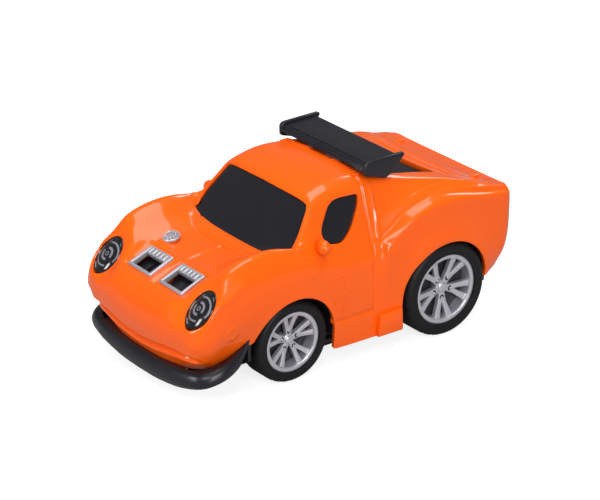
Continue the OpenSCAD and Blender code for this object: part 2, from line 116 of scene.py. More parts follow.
class Bench:
    """Modelling moves that the sub-assemblies share."""

    @staticmethod
    def clear() -> None:
        """Deselects everything."""
        bpy.ops.object.select_all(action="DESELECT")

    @classmethod
    def pick(cls, piece: bpy.types.Object) -> None:
        """Makes one piece the selected and active one.

        Args:
            piece: the object to work on.
        """
        cls.clear()
        piece.select_set(True)
        bpy.context.view_layer.objects.active = piece

    @classmethod
    def edit(cls, piece: bpy.types.Object) -> None:
        """Opens a piece in edit mode with all of it selected.

        Args:
            piece: the object to work on.
        """
        cls.pick(piece)
        bpy.ops.object.mode_set(mode="EDIT")
        bpy.ops.mesh.select_all(action="SELECT")

    @staticmethod
    def done() -> None:
        """Leaves edit mode."""
        bpy.ops.object.mode_set(mode="OBJECT")

    @classmethod
    def extrude(cls, piece: bpy.types.Object, by: Sequence[float]) -> None:
        """Extrudes a flat face into a closed solid.

        Args:
            piece: the object that holds the face.
            by: how far, in millimetres along X, Y and Z.
        """
        cls.edit(piece)
        bpy.ops.mesh.extrude_region_move(TRANSFORM_OT_translate={"value": [b * MM for b in by]})
        cls.done()
        cls.tidy(piece)

    @classmethod
    def drop_loose(cls, piece: bpy.types.Object) -> None:
        """Deletes the points and edges that no face uses.

        Args:
            piece: the object to clean.
        """
        cls.edit(piece)
        bpy.ops.mesh.delete_loose()
        cls.done()

    @staticmethod
    def mesh(name: str, points: np.ndarray, faces: Sequence, edges: Sequence = ()) -> bpy.types.Object:
        """Makes a mesh object from points in millimetres.

        Args:
            name: name of the object.
            points: (n, 3) places.
            faces: index lists, one for each face.
            edges: index pairs, for wires that a spin turns.

        Returns:
            The new object.
        """
        data = bpy.data.meshes.new(name)
        data.from_pydata([tuple(p) for p in np.asarray(points, float) * MM], list(edges),
                         [tuple(f) for f in faces])
        data.update()
        made = bpy.data.objects.new(name, data)
        bpy.context.scene.collection.objects.link(made)
        return made

    @classmethod
    def tidy(cls, piece: bpy.types.Object, merge: float = 0.002, outward: bool = True) -> None:
        """Merges doubled points and turns every face outward.

        Args:
            piece: the object to clean.
            merge: distance under which points merge, in millimetres.
            outward: whether normals are recalculated.
        """
        cls.edit(piece)
        bpy.ops.mesh.remove_doubles(threshold=merge * MM)
        if outward:
            bpy.ops.mesh.normals_make_consistent(inside=False)
        cls.done()

    @classmethod
    def modify(cls, piece: bpy.types.Object, kind: str, **settings: object) -> None:
        """Adds a modifier and applies it at once.

        Args:
            piece: the object to change.
            kind: Blender's modifier type.
            settings: its settings by name.
        """
        cls.pick(piece)
        added = piece.modifiers.new(kind.title(), kind)
        for key, value in settings.items():
            setattr(added, key, value)
        bpy.ops.object.modifier_apply(modifier=added.name)

    @classmethod
    def wall(cls, piece: bpy.types.Object, thick: float) -> None:
        """Thickens a skin inwards, by some millimetres."""
        cls.modify(piece, "SOLIDIFY", thickness=thick * MM, offset=-1, use_even_offset=False)

    @classmethod
    def bevel(cls, piece: bpy.types.Object, width: float, segments: int = 2, angle: float = 40) -> None:
        """Rounds the edges of a piece.

        Args:
            piece: the object to round.
            width: bevel width in millimetres.
            segments: number of steps across it.
            angle: least angle between faces, in degrees.
        """
        cls.modify(
            piece, "BEVEL", width=width * MM, segments=segments, limit_method="ANGLE",
            angle_limit=math.radians(angle), use_clamp_overlap=True, harden_normals=False,
        )

    @classmethod
    def smooth(cls, piece: bpy.types.Object, angle: float = 35) -> None:
        """Shades a piece smooth up to an angle, in degrees."""
        cls.pick(piece)
        bpy.ops.object.shade_smooth_by_angle(angle=math.radians(angle))

    @classmethod
    def block(cls, name: str, size: Sequence[float], at: Sequence[float]) -> bpy.types.Object:
        """Adds a box with its place in its mesh.

        Args:
            name: name of the object.
            size: edge lengths.
            at: centre.

        Returns:
            The new object.
        """
        cls.clear()
        bpy.ops.mesh.primitive_cube_add(size=1, location=(0, 0, 0))
        made = bpy.context.active_object
        made.name = name
        stretch = Matrix.Diagonal((*[s * MM for s in size], 1))
        made.data.transform(Matrix.Translation(Vector(at) * MM) @ stretch)
        return made

    @classmethod
    def rod(cls, name: str, radius: float, start: Sequence[float], end: Sequence[float], sides: int = 32,
            tip: float | None = None) -> bpy.types.Object:
        """Adds a rod or a cone between two points.

        Args:
            name: name of the object.
            radius: radius at the start.
            start: centre of the first end.
            end: centre of the other end.
            sides: facets round it.
            tip: radius at the end, if it differs.

        Returns:
            The new object.
        """
        cls.clear()
        a, b = Vector(start) * MM, Vector(end) * MM
        bpy.ops.mesh.primitive_cone_add(
            vertices=sides, radius1=radius * MM, radius2=(radius if tip is None else tip) * MM,
                                        depth=(b - a).length,
            location=(0, 0, 0),
        )
        made = bpy.context.active_object
        made.name = name
        turn = (b - a).to_track_quat("Z", "Y").to_matrix().to_4x4()
        made.data.transform(Matrix.Translation((a + b) / 2) @ turn)
        return made

    @classmethod
    def lathe(cls, name: str, profile: Sequence[Sequence[float]], centre: Sequence[float], steps: int = 64,
              closed: bool = True) -> bpy.types.Object:
        """Spins a profile round an axis along X.

        Args:
            name: name of the object.
            profile: (x, radius) pairs.
            centre: (y, z) of the axis.
            steps: facets round it.
            closed: whether the profile's end joins its start.

        Returns:
            The new object.
        """
        y, z = centre
        points = [(x, y, z + r) for x, r in profile]
        count = len(points)
        edges = [(i, (i + 1) % count) for i in range(count if closed else count - 1)]
        made = cls.mesh(name, np.array(points), [], edges)
        cls.edit(made)
        bpy.ops.mesh.spin(steps=steps, angle=2 * math.pi, center=(0, y * MM, z * MM), axis=(1, 0, 0))
        cls.done()
        cls.tidy(made)
        return made

    @classmethod
    def prism(cls, name: str, outline: Sequence[Sequence[float]], low: float,
              high: float) -> bpy.types.Object:
        """Extrudes an outline in the Y-Z plane along X.

        Args:
            name: name of the object.
            outline: (y, z) corners.
            low: X where it starts.
            high: X where it ends.

        Returns:
            The new object.
        """
        made = cls.mesh(name, np.array([(low, y, z) for y, z in outline]), [range(len(outline))])
        cls.extrude(made, (high - low, 0, 0))
        return made

    @staticmethod
    def copy(piece: bpy.types.Object, name: str) -> bpy.types.Object:
        """Copies a piece, with its own mesh.

        Args:
            piece: the object to copy.
            name: name of the copy.

        Returns:
            The copy.
        """
        made = piece.copy()
        made.data = piece.data.copy()
        made.name = name
        bpy.context.scene.collection.objects.link(made)
        return made

    @classmethod
    def turned(cls, piece: bpy.types.Object, angle: float, centre: Sequence[float]) -> bpy.types.Object:
        """Copies a piece, turned about a line along X.

        Args:
            piece: the object to copy.
            angle: turn in degrees.
            centre: a point of the line.

        Returns:
            The copy.
        """
        made = cls.copy(piece, piece.name + "_copy")
        at = Matrix.Translation(Vector(centre) * MM)
        made.data.transform(at @ Matrix.Rotation(math.radians(angle), 4, "X") @ at.inverted())
        return made

    @classmethod
    def mirrored(cls, piece: bpy.types.Object, name: str) -> bpy.types.Object:
        """Copies a piece to the other side of the car.

        Args:
            piece: the object to copy.
            name: name of the copy.

        Returns:
            The copy.
        """
        made = cls.copy(piece, name)
        made.data.transform(Matrix.Diagonal((-1, 1, 1, 1)))
        made.data.flip_normals()
        return made

    @classmethod
    def join(cls, name: str, pieces: Iterable[bpy.types.Object]) -> bpy.types.Object:
        """Joins pieces into one object.

        Args:
            name: name of the result.
            pieces: the objects to join.

        Returns:
            The joined object.
        """
        pieces = list(pieces)
        cls.clear()
        for piece in pieces:
            piece.select_set(True)
        bpy.context.view_layer.objects.active = pieces[0]
        if len(pieces) > 1:
            bpy.ops.object.join()
        pieces[0].name = name
        return pieces[0]


# --------------------------------------------------------------------------- finishes


class Sheet:
    """A material's node tree, with short ways to add nodes and links."""

    def __init__(self, tree: bpy.types.NodeTree) -> None:
        """Takes the tree to fill."""
        self.tree = tree

    def add(self, kind: str, **values: object) -> bpy.types.Node:
        """Adds a node.

        Args:
            kind: node type without its ShaderNode prefix.
            values: attributes, or sockets by name with spaces as underscores.

        Returns:
            The node.
        """
        node = self.tree.nodes.new(kind if kind.startswith("Node") else "ShaderNode" + kind)
        for key, value in values.items():
            if hasattr(node, key):
                setattr(node, key, value)
            else:
                node.inputs[key.replace("_", " ")].default_value = value
        return node

    def link(self, source: bpy.types.NodeSocket, target: bpy.types.NodeSocket) -> None:
        """Joins two sockets."""
        self.tree.links.new(source, target)

    def math(self, operation: str, *terms: object) -> bpy.types.NodeSocket:
        """Adds a Math node.

        Args:
            operation: Blender's name of the operation.
            terms: sockets or numbers, in the node's order.

        Returns:
            The node's output.
        """
        node = self.add("Math", operation=operation)
        for socket, term in zip(node.inputs, terms):
            if isinstance(term, bpy.types.NodeSocket):
                self.link(term, socket)
            else:
                socket.default_value = term
        return node.outputs[0]


class Effects:
    """Shader node groups that several finishes share."""

    _made: dict[str, bpy.types.NodeTree] = {}

    @classmethod
    def _group(cls, name: str, inputs: dict[str, tuple], outputs: dict[str, str]) -> tuple:
        """Starts a node group with named sockets.

        Args:
            name: name of the group.
            inputs: socket type and value for each input's name.
            outputs: socket type for each output's name.

        Returns:
            The group's sheet, its input node and its output node.
        """
        tree = bpy.data.node_groups.new(name, "ShaderNodeTree")
        for key, (kind, value) in inputs.items():
            socket = tree.interface.new_socket(name=key, in_out="INPUT", socket_type=kind)
            socket.default_value = value
        for key, kind in outputs.items():
            tree.interface.new_socket(name=key, in_out="OUTPUT", socket_type=kind)
        sheet = Sheet(tree)
        return sheet, sheet.add("NodeGroupInput"), sheet.add("NodeGroupOutput")

    @classmethod
    def grain(cls) -> bpy.types.NodeTree:
        """Fine surface relief as a normal, from two sizes of noise.

        Returns:
            The node group.
        """
        if "grain" not in cls._made:
            sheet, given, out = cls._group(
                "surface_grain",
                {"Scale": ("NodeSocketFloat", 1000.0), "Depth": ("NodeSocketFloat", 0.00001),
                 "Fine": ("NodeSocketFloat", 0.4)},
                {"Normal": "NodeSocketVector"},
            )
            place = sheet.add("TexCoord")
            broad = sheet.add("TexNoise", Detail=2.0)
            fine = sheet.add("TexNoise", Detail=3.0)
            sheet.link(place.outputs["Object"], broad.inputs["Vector"])
            sheet.link(place.outputs["Object"], fine.inputs["Vector"])
            sheet.link(given.outputs["Scale"], broad.inputs["Scale"])
            sheet.link(sheet.math("MULTIPLY", given.outputs["Scale"], 5.3), fine.inputs["Scale"])
            detail = sheet.math("MULTIPLY", fine.outputs["Fac"], given.outputs["Fine"])
            height = sheet.math("ADD", broad.outputs["Fac"], detail)
            bump = sheet.add("Bump", Strength=1.0)
            sheet.link(given.outputs["Depth"], bump.inputs["Distance"])
            sheet.link(height, bump.inputs["Height"])
            sheet.link(bump.outputs["Normal"], out.inputs["Normal"])
            cls._made["grain"] = sheet.tree
        return cls._made["grain"]

    @classmethod
    def tone(cls) -> bpy.types.NodeTree:
        """Slow drift of a colour and of roughness over the surface.

        Returns:
            The node group.
        """
        if "tone" not in cls._made:
            sheet, given, out = cls._group(
                "tone_drift",
                {"Color": ("NodeSocketColor", (0.5, 0.5, 0.5, 1)),
                 "Other": ("NodeSocketColor", (0.4, 0.4, 0.4, 1)),
                 "Scale": ("NodeSocketFloat", 120.0), "Amount": ("NodeSocketFloat", 0.3),
                 "Roughness": ("NodeSocketFloat", 0.4), "Spread": ("NodeSocketFloat", 0.08)},
                {"Color": "NodeSocketColor", "Roughness": "NodeSocketFloat"},
            )
            place = sheet.add("TexCoord")
            noise = sheet.add("TexNoise", Detail=4.0, Roughness=0.55)
            sheet.link(place.outputs["Object"], noise.inputs["Vector"])
            sheet.link(given.outputs["Scale"], noise.inputs["Scale"])
            mix = sheet.add("Mix", data_type="RGBA")
            share = sheet.math("MULTIPLY", noise.outputs["Fac"], given.outputs["Amount"])
            sheet.link(share, mix.inputs["Factor"])
            sheet.link(given.outputs["Color"], mix.inputs["A"])
            sheet.link(given.outputs["Other"], mix.inputs["B"])
            sheet.link(mix.outputs["Result"], out.inputs["Color"])
            swing = sheet.math("MULTIPLY", sheet.math("SUBTRACT", noise.outputs["Fac"], 0.5),
                               given.outputs["Spread"])
            sheet.link(sheet.math("ADD", given.outputs["Roughness"], swing), out.inputs["Roughness"])
            cls._made["tone"] = sheet.tree
        return cls._made["tone"]


@dataclass(frozen=True)
class Finish:
    """A moulded, painted or metal surface.

    The colour drifts between the first and the other one, over patches whose size the tone scale
    sets, and the roughness drifts with it by the spread. The grain's depth is in millimetres.
    """

    name: str
    color: tuple[float, float, float]
    other: tuple[float, float, float]
    roughness: float = 0.4
    metallic: float = 0.0
    coat: float = 0.0
    coat_roughness: float = 0.03
    specular: float = 0.5
    tone_scale: float = 150.0
    tone_amount: float = 0.5
    spread: float = 0.1
    grain_scale: float = 900.0
    grain_depth: float = 0.006
    fine: float = 0.4

    def material(self) -> bpy.types.Material:
        """Builds the material, or returns it if it is there."""
        found = bpy.data.materials.get(self.name)
        return found if found else self._build()

    def _base(self) -> tuple[bpy.types.Material, Sheet, bpy.types.Node, bpy.types.Node]:
        """Starts the material with its shader, tone and grain.

        Returns:
            The material, its sheet, its shader and its tone group.
        """
        made = bpy.data.materials.new(self.name)
        made.use_nodes = True
        made.node_tree.nodes.clear()
        sheet = Sheet(made.node_tree)
        out = sheet.add("OutputMaterial")
        shader = sheet.add("BsdfPrincipled")
        sheet.link(shader.outputs["BSDF"], out.inputs["Surface"])
        shader.inputs["Metallic"].default_value = self.metallic
        shader.inputs["Coat Weight"].default_value = self.coat
        shader.inputs["Coat Roughness"].default_value = self.coat_roughness
        shader.inputs["Specular IOR Level"].default_value = self.specular
        tone = sheet.add("Group")
        tone.node_tree = Effects.tone()
        tone.inputs["Color"].default_value = (*self.color, 1)
        tone.inputs["Other"].default_value = (*self.other, 1)
        tone.inputs["Scale"].default_value = self.tone_scale
        tone.inputs["Amount"].default_value = self.tone_amount
        tone.inputs["Roughness"].default_value = self.roughness
        tone.inputs["Spread"].default_value = self.spread
        sheet.link(tone.outputs["Roughness"], shader.inputs["Roughness"])
        grain = sheet.add("Group")
        grain.node_tree = Effects.grain()
        grain.inputs["Scale"].default_value = self.grain_scale
        grain.inputs["Depth"].default_value = self.grain_depth * MM
        grain.inputs["Fine"].default_value = self.fine
        sheet.link(grain.outputs["Normal"], shader.inputs["Normal"])
        return made, sheet, shader, tone

    def _build(self) -> bpy.types.Material:
        """Builds the plain version, whose colour is the tone group's.

        Returns:
            The material.
        """
        made, sheet, shader, tone = self._base()
        sheet.link(tone.outputs["Color"], shader.inputs["Base Color"])
        return made


@dataclass(frozen=True)
class FloorFinish(Finish):
    """Floor that looks pale but throws little light back up at the car."""

    glow: float = 0.82

    def _build(self) -> bpy.types.Material:
        """Adds a glow that is only seen directly to the plain version.

        Returns:
            The material.
        """
        made = super()._build()
        sheet = Sheet(made.node_tree)
        shader = next(n for n in made.node_tree.nodes if n.type == "BSDF_PRINCIPLED")
        shader.inputs["Emission Color"].default_value = (1, 1, 1, 1)
        path = sheet.add("LightPath")
        sheet.link(sheet.math("MULTIPLY", path.outputs["Is Camera Ray"], self.glow),
                   shader.inputs["Emission Strength"])
        return made


@dataclass(frozen=True)
class LampFinish(Finish):
    """Black lamp with plain pale rings printed round its middle."""

    centre: tuple[float, float, float] = (0, 0, 0)
    turn: tuple[float, float, float] = (0, 0, 0)
    print_color: tuple[float, float, float] = (0.2, 0.205, 0.23)
    rings: tuple[tuple[float, float], ...] = ((0.3, 0.52), (1.05, 1.6), (2.55, 2.95))

    def _build(self) -> bpy.types.Material:
        """Adds rings in the lamp's own plane to the plain version.

        Returns:
            The material.
        """
        made, sheet, shader, tone = self._base()
        place = sheet.add("TexCoord")
        shift = sheet.add("VectorMath", operation="SUBTRACT")
        shift.inputs[1].default_value = [c * MM for c in self.centre]
        sheet.link(place.outputs["Object"], shift.inputs[0])
        turned = sheet.add("VectorRotate", rotation_type="EULER_XYZ", invert=True)
        turned.inputs["Rotation"].default_value = [math.radians(t) for t in self.turn]
        sheet.link(shift.outputs[0], turned.inputs["Vector"])
        split = sheet.add("SeparateXYZ")
        sheet.link(turned.outputs[0], split.inputs[0])
        x, y = split.outputs[0], split.outputs[1]
        square = sheet.math("ADD", sheet.math("MULTIPLY", x, x), sheet.math("MULTIPLY", y, y))
        radius = sheet.math("SQRT", square)
        total: object = 0.0
        for low, high in self.rings:
            beyond = sheet.math("GREATER_THAN", radius, low * MM)
            within = sheet.math("LESS_THAN", radius, high * MM)
            total = sheet.math("ADD", total, sheet.math("MULTIPLY", beyond, within))
        angle = sheet.math("ARCTAN2", y, x)
        gaps = sheet.math("GREATER_THAN", sheet.math("SINE", sheet.math("MULTIPLY", angle, 2.0)), -0.72)
        keep = sheet.math("MAXIMUM", gaps, sheet.math("LESS_THAN", radius, 0.5 * MM))
        mask = sheet.math("MULTIPLY", total, keep)
        mix = sheet.add("Mix", data_type="RGBA")
        sheet.link(mask, mix.inputs["Factor"])
        sheet.link(tone.outputs["Color"], mix.inputs["A"])
        mix.inputs["B"].default_value = (*self.print_color, 1)
        sheet.link(mix.outputs["Result"], shader.inputs["Base Color"])
        return made


class Finishes:
    """All the finishes of the car."""

    PAINT = Finish("orange_gloss_paint", (1.0, 0.125, 0.003), (0.97, 0.105, 0.002), 0.3, coat=0.5,
                   coat_roughness=0.03, specular=0.12,
                   tone_scale=60, tone_amount=0.6, spread=0.05, grain_scale=420, grain_depth=0.012,
                   fine=0.1)
    WINDOW = Finish("smoked_window_plastic", (0.008, 0.008, 0.011), (0.018, 0.019, 0.025), 0.07, coat=0.2,
                    tone_scale=90, tone_amount=0.6, spread=0.05, grain_scale=260, grain_depth=0.012,
                    fine=0.05)
    BRIGHT = Finish("satin_bright_plating", (0.52, 0.52, 0.56), (0.38, 0.38, 0.42), 0.46, metallic=0.65,
                    tone_scale=500, grain_scale=1500, grain_depth=0.006)
    BLACK = Finish("black_satin_plastic", (0.009, 0.009, 0.013), (0.019, 0.019, 0.026), 0.3, spread=0.1,
                   specular=0.4,
                   tone_scale=200, grain_scale=2600, grain_depth=0.008)
    RED = Finish("red_lens_plastic", (0.45, 0.008, 0.008), (0.3, 0.003, 0.003), 0.16, coat=0.7,
                 tone_scale=400)
    RIM = Finish("silver_rim_paint", (0.66, 0.66, 0.71), (0.5, 0.5, 0.55), 0.36, metallic=0.7, coat=0.1,
                 tone_scale=500, tone_amount=0.5, grain_scale=3200, grain_depth=0.003)
    # Painted shade: a dark colour for the shaded recess behind the spokes and the wells round the bolts.
    RECESS = Finish("wheel_back_plastic", (0.035, 0.035, 0.04), (0.06, 0.06, 0.066), 0.42, metallic=0.3,
                    tone_scale=300, specular=0.3)
    TYRE = Finish("black_tyre_rubber", (0.006, 0.006, 0.007), (0.014, 0.014, 0.016), 0.45, spread=0.15,
                  tone_scale=350, specular=0.22,
                  grain_scale=3000, grain_depth=0.012)
    GEAR = Finish("natural_gear_plastic", (0.7, 0.67, 0.58), (0.6, 0.56, 0.47), 0.45, tone_scale=300)
    CASE = Finish("motor_case_plastic", (0.03, 0.03, 0.032), (0.05, 0.05, 0.053), 0.5, tone_scale=250)
    STEEL = Finish("drawn_steel", (0.5, 0.51, 0.53), (0.36, 0.37, 0.39), 0.3, metallic=1.0, tone_scale=900,
                   grain_scale=4000, grain_depth=0.003)
    FLOOR = FloorFinish("pale_floor", (0.4, 0.4, 0.4), (0.37, 0.37, 0.37), 0.7, specular=0.05,
                        tone_scale=4, tone_amount=0.3,
                   grain_scale=300, grain_depth=0.001)


def dress(piece: bpy.types.Object, finish: Finish) -> bpy.types.Object:
    """Gives a piece one finish.

    Args:
        piece: the object.
        finish: its finish.

    Returns:
        The same object.
    """
    piece.data.materials.clear()
    piece.data.materials.append(finish.material())
    return piece


def place(piece: bpy.types.Object, body: str, replaced: Sequence[str] = ()) -> None:
    """Puts a finished piece on its body and hides what it stands for.

    Args:
        piece: the object.
        body: name of the body.
        replaced: names of CAD nodes that it stands for.
    """
    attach(piece, body)
    if replaced:
        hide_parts(*replaced)
    LOG.info("%s: %d faces on %s", piece.name, len(piece.data.polygons), body)


# --------------------------------------------------------------------------- outlines


@dataclass(frozen=True)
class Plane:
    """A flat working plane: its middle, and its turns in degrees about X, Y and Z, in that order."""

    at: tuple[float, float, float]
    lean: float = 0.0
    turn: float = 0.0
    roll: float = 0.0

    def basis(self) -> np.ndarray:
        """Finds the plane's own axes.

        Returns:
            A matrix whose rows are the axes in the frame.
        """
        turns = ((self.turn, "Z"), (self.roll, "Y"), (self.lean, "X"))
        spin = Matrix.Identity(3)
        for angle, axis in turns:
            spin = spin @ Matrix.Rotation(math.radians(angle), 3, axis)
        return np.array(spin).T

    def flat(self, points: np.ndarray) -> np.ndarray:
        """Places in the plane's own axes."""
        return (points - np.array(self.at)) @ self.basis().T

    def out(self, points: np.ndarray) -> np.ndarray:
        """Places in the frame from the plane's own axes."""
        return np.asarray(points, float) @ self.basis() + np.array(self.at)

    def matrix(self) -> Matrix:
        """Transform, in metres, that sets a shape made flat at the origin into the plane."""
        return Matrix.Translation(Vector(self.at) * MM) @ Matrix(self.basis().T.tolist()).to_4x4()


def polygon_gap(flat: np.ndarray, corners: Sequence[Sequence[float]], radius: float = 0.0) -> np.ndarray:
    """Signed distance to a polygon, positive outside.

    Args:
        flat: (n, 2) places.
        corners: the polygon's corners in order.
        radius: how much its corners are rounded.

    Returns:
        (n,) distances.
    """
    corner = np.array(corners, float)
    best = np.full(len(flat), 1e9)
    inside = np.zeros(len(flat), bool)
    for a, b in zip(corner, np.roll(corner, -1, 0)):
        along = b - a
        t = np.clip((flat - a) @ along / (along @ along), 0, 1)
        best = np.minimum(best, np.linalg.norm(flat - a - t[:, None] * along, axis=1))
        crosses = (a[1] > flat[:, 1]) != (b[1] > flat[:, 1])
        span = np.where(abs(b[1] - a[1]) < 1e-12, 1e-12, b[1] - a[1])
        inside ^= crosses & (flat[:, 0] < (b[0] - a[0]) * (flat[:, 1] - a[1]) / span + a[0])
    return np.where(inside, -best, best) - radius


def on_left(points: np.ndarray) -> np.ndarray:
    """The same places, mirrored to the left side where they are on the right."""
    return points * np.column_stack([np.where(points[:, 0] < 0, -1, 1), np.ones((len(points), 2))])


def ridge(gap: np.ndarray, width: float, height: float) -> np.ndarray:
    """Height of a rounded line, or depth of a groove, at a gap from its middle."""
    return height * np.exp(-((gap / width) ** 2))


def rise(value: np.ndarray, start: float, end: float) -> np.ndarray:
    """Share that grows from 0 at the start to 1 at the end."""
    return np.clip((value - start) / (end - start), 0, 1)


def rectangle(size: Sequence[float], radius: float) -> list[tuple[float, float]]:
    """Corners of a rectangle, drawn in by the radius that will round it."""
    x, y = size[0] / 2 - radius, size[1] / 2 - radius
    return [(-x, -y), (x, -y), (x, y), (-x, y)]


def mirrored_outline(half: Sequence[Sequence[float]]) -> list:
    """Whole outline from its half, whose first and last corners lie on the middle line."""
    return [*half, *[(-x, y) for x, y in half[-2:0:-1]]]


def smooth_line(knots: Sequence[Sequence[float]], steps: int) -> np.ndarray:
    """A smooth open line through knots.

    Args:
        knots: places, of any number of coordinates.
        steps: points from knot to knot.

    Returns:
        The line's points, both ends included.
    """
    k = np.array(knots, float)
    k = np.vstack([2 * k[0] - k[1], k, 2 * k[-1] - k[-2]])
    made = []
    for i in range(1, len(k) - 2):
        for t in np.arange(steps) / steps:
            a, b, c, d = k[i - 1], k[i], k[i + 1], k[i + 2]
            made.append(0.5 * (2 * b + (c - a) * t + (2 * a - 5 * b + 4 * c - d) * t**2
                               + (3 * b - a - 3 * c + d) * t**3))
    made.append(k[-2])
    return np.array(made)


def line_gap(flat: np.ndarray, line: np.ndarray) -> np.ndarray:
    """Distance from places to an open line of points.

    Args:
        flat: (n, 2) or (n, 3) places.
        line: the line's points in order.

    Returns:
        (n,) distances.
    """
    best = np.full(len(flat), 1e9)
    for a, b in zip(line[:-1], line[1:]):
        along = b - a
        t = np.clip((flat - a) @ along / max(along @ along, 1e-12), 0, 1)
        best = np.minimum(best, np.linalg.norm(flat - a - t[:, None] * along, axis=1))
    return best


# --------------------------------------------------------------------------- body


@dataclass
class BodyForm:
    """Outer form of the body: sections from the nose round to the tail, each of seven points.

    The points climb from the lower edge over flank, widest line, shoulder, valley and roof rail
    to the spine. A place on the form is (u, v): section number and line number.
    """

    sections: np.ndarray = field(default_factory=lambda: np.array([
        # nose, on the middle line
        [[0, -41.8, 7.9], [0, -42.9, 11], [0, -43.7, 15.5], [0, -42.0, 20.0], [0, -38.8, 22.4],
         [0, -35.5, 23.4], [0, -32.5, 24.0]],
        # nose, beside the middle
        [[10, -41.3, 7.9], [10.8, -42.8, 11], [11.4, -43.4, 15.5], [11.0, -42.1, 20.2], [8.6, -38.6, 22.9],
         [4.2, -34.2, 23.5], [0, -29.5, 24.4]],
        # corner of the nose
        [[17.6, -37.7, 7.9], [19.5, -39.8, 11], [21.2, -41.4, 15.8], [20.8, -40.6, 22.0],
         [17.8, -37.0, 27.6], [8.8, -29.5, 24.8], [0, -26.5, 24.9]],
        # ahead of the front wheel
        [[18.9, -31.5, 10.2], [19.8, -31.5, 12.6], [21.6, -32.4, 18], [21.5, -32.2, 25.2],
         [18.4, -31.0, 31.4], [9.8, -25, 25.0], [0, -23.5, 25.2]],
        # front edge of the front wheel
        [[19.8, -24, 13.2], [20.6, -24, 15.6], [21.4, -24, 20], [21.3, -23.5, 26.6], [18.2, -22.8, 32.4],
         [10.5, -20, 25.6], [0, -20, 25.4]],
        # over the front wheel, at the windscreen's foot
        [[19.9, -15, 9], [20.4, -15, 13], [21.2, -15, 19.8], [21.0, -15, 25.6], [18.9, -15.2, 30.2],
         [17.4, -15.2, 28.5], [0, -16.7, 25.2]],
        # front of the door
        [[20, -7.5, 4.8], [20.4, -7.5, 11], [20.9, -7.5, 18.6], [20.6, -8, 24.4], [18.6, -9.5, 28.2],
         [14.5, -8.3, 38.2], [0, -9.8, 39.2]],
        # middle of the door
        [[20, -1.5, 4.6], [20.3, -1.5, 11], [20.4, -1.5, 17.5], [20.1, -1.5, 22.9], [18.3, -2, 27.0],
         [14.5, -2.5, 39.8], [0, -2.5, 40.8]],
        # rear edge of the door
        [[20, 4.5, 4.6], [20.1, 4.5, 11], [20.0, 4.5, 17.5], [19.5, 5, 22.2], [18.1, 5, 26.2],
         [14.4, 5, 39.3], [0, 5, 40.3]],
        # behind the door
        [[20, 10, 4.6], [20.2, 9.5, 11], [20.5, 8.8, 25.4], [19.1, 8.5, 26.9], [17.6, 9, 29.8],
         [14.2, 8.8, 38.7], [0, 9.4, 39.2]],
        # front of the rear wheel
        [[20, 15, 6.0], [20.6, 14.5, 12], [21.3, 14.4, 30.2], [19.3, 14.2, 31.5], [17.6, 14.6, 33.2],
         [14.8, 14.8, 37.1], [0, 15, 37.4]],
        # over the rear wheel
        [[20, 23, 8.0], [20.8, 23, 14], [21.6, 22, 31.6], [19.8, 22, 33.5], [18.2, 22.3, 33.9],
         [16.2, 22.5, 35.8], [0, 23, 35.2]],
        # behind the rear wheel's top
        [[19.8, 30, 9.5], [20.6, 30, 15], [21.4, 30, 30.8], [19.6, 29.3, 32.5], [18.8, 29.3, 33.0],
         [17.5, 29.3, 34.2], [0, 29, 33.1]],
        # rear edge of the rear wheel
        [[19.2, 35.8, 11.0], [20.5, 35.8, 15], [21.2, 35.6, 29.9], [19.6, 35.0, 31.7], [19.0, 34.6, 31.9],
         [18.0, 33.6, 32.6], [0, 31.5, 32.4]],
        # corner of the tail
        [[18.6, 40.4, 12.4], [20.4, 42.6, 17], [21.1, 42.2, 28.7], [20.3, 41.5, 30.4], [18.2, 39.6, 30.8],
         [14, 36.0, 31.5], [0, 33.8, 31.8]],
        # tail, beside the middle
        [[12.8, 41.2, 12.6], [13.3, 43.4, 17.5], [13.6, 43.1, 28.2], [13, 41.6, 30.2], [12, 39.8, 30.4],
         [9, 37.5, 30.9], [0, 35.5, 31.4]],
        # tail, on the middle line
        [[0, 41.4, 12.6], [0, 43.6, 17.5], [0, 43.2, 28.2], [0, 41.7, 30.1], [0, 40.3, 30.3],
         [0, 38.6, 30.7], [0, 37, 31.1]],
    ], float))
    # How round each line is where it passes a section, from 0, sharp, to 1; 1 where none is given
    soft_along: dict = field(default_factory=lambda: {5: (1, 1, 1, 1, 0.5, 0.15, 0.15),
                                                      6: (1, 1, 1, 1, 0.6, 0.35, 0.35),
                                                      9: (1, 1, 1, 1, 1, 0.4, 0.4)})
    # How round each section is at each line, one row for each line and one value for each section
    soft_up: np.ndarray = field(default_factory=lambda: np.array([
        [0.6] * 17, [1] * 17, [1] * 9 + [0.4] + [0.35] * 4 + [0.45] * 3,
        [1] * 5 + [0.9, 0.7, 0.7, 0.7, 0.4] + [0.35] * 4 + [0.3] * 3,
        [1, 1, 0.9, 0.8, 0.7, 0.7, 0.4, 0.4, 0.4] + [0.6] * 5 + [1] * 3,
        [1] * 5 + [0.3] + [0.45] * 4 + [0.35] * 3 + [0.6] + [1] * 3, [1] * 17,
    ], float).T)

    def __post_init__(self) -> None:
        """Extends the sections past the middle plane, so that both ends stay smooth."""
        flip = np.array([-1, 1, 1])
        along = np.array([self.soft_along.get(i, (1,) * 7) for i in range(len(self.sections))], float)
        self._control = np.concatenate([self.sections[1:2] * flip, self.sections,
                                        self.sections[-2:-1] * flip])
        self._along = np.concatenate([along[1:2], along, along[-2:-1]])
        self.last = len(self.sections) - 1

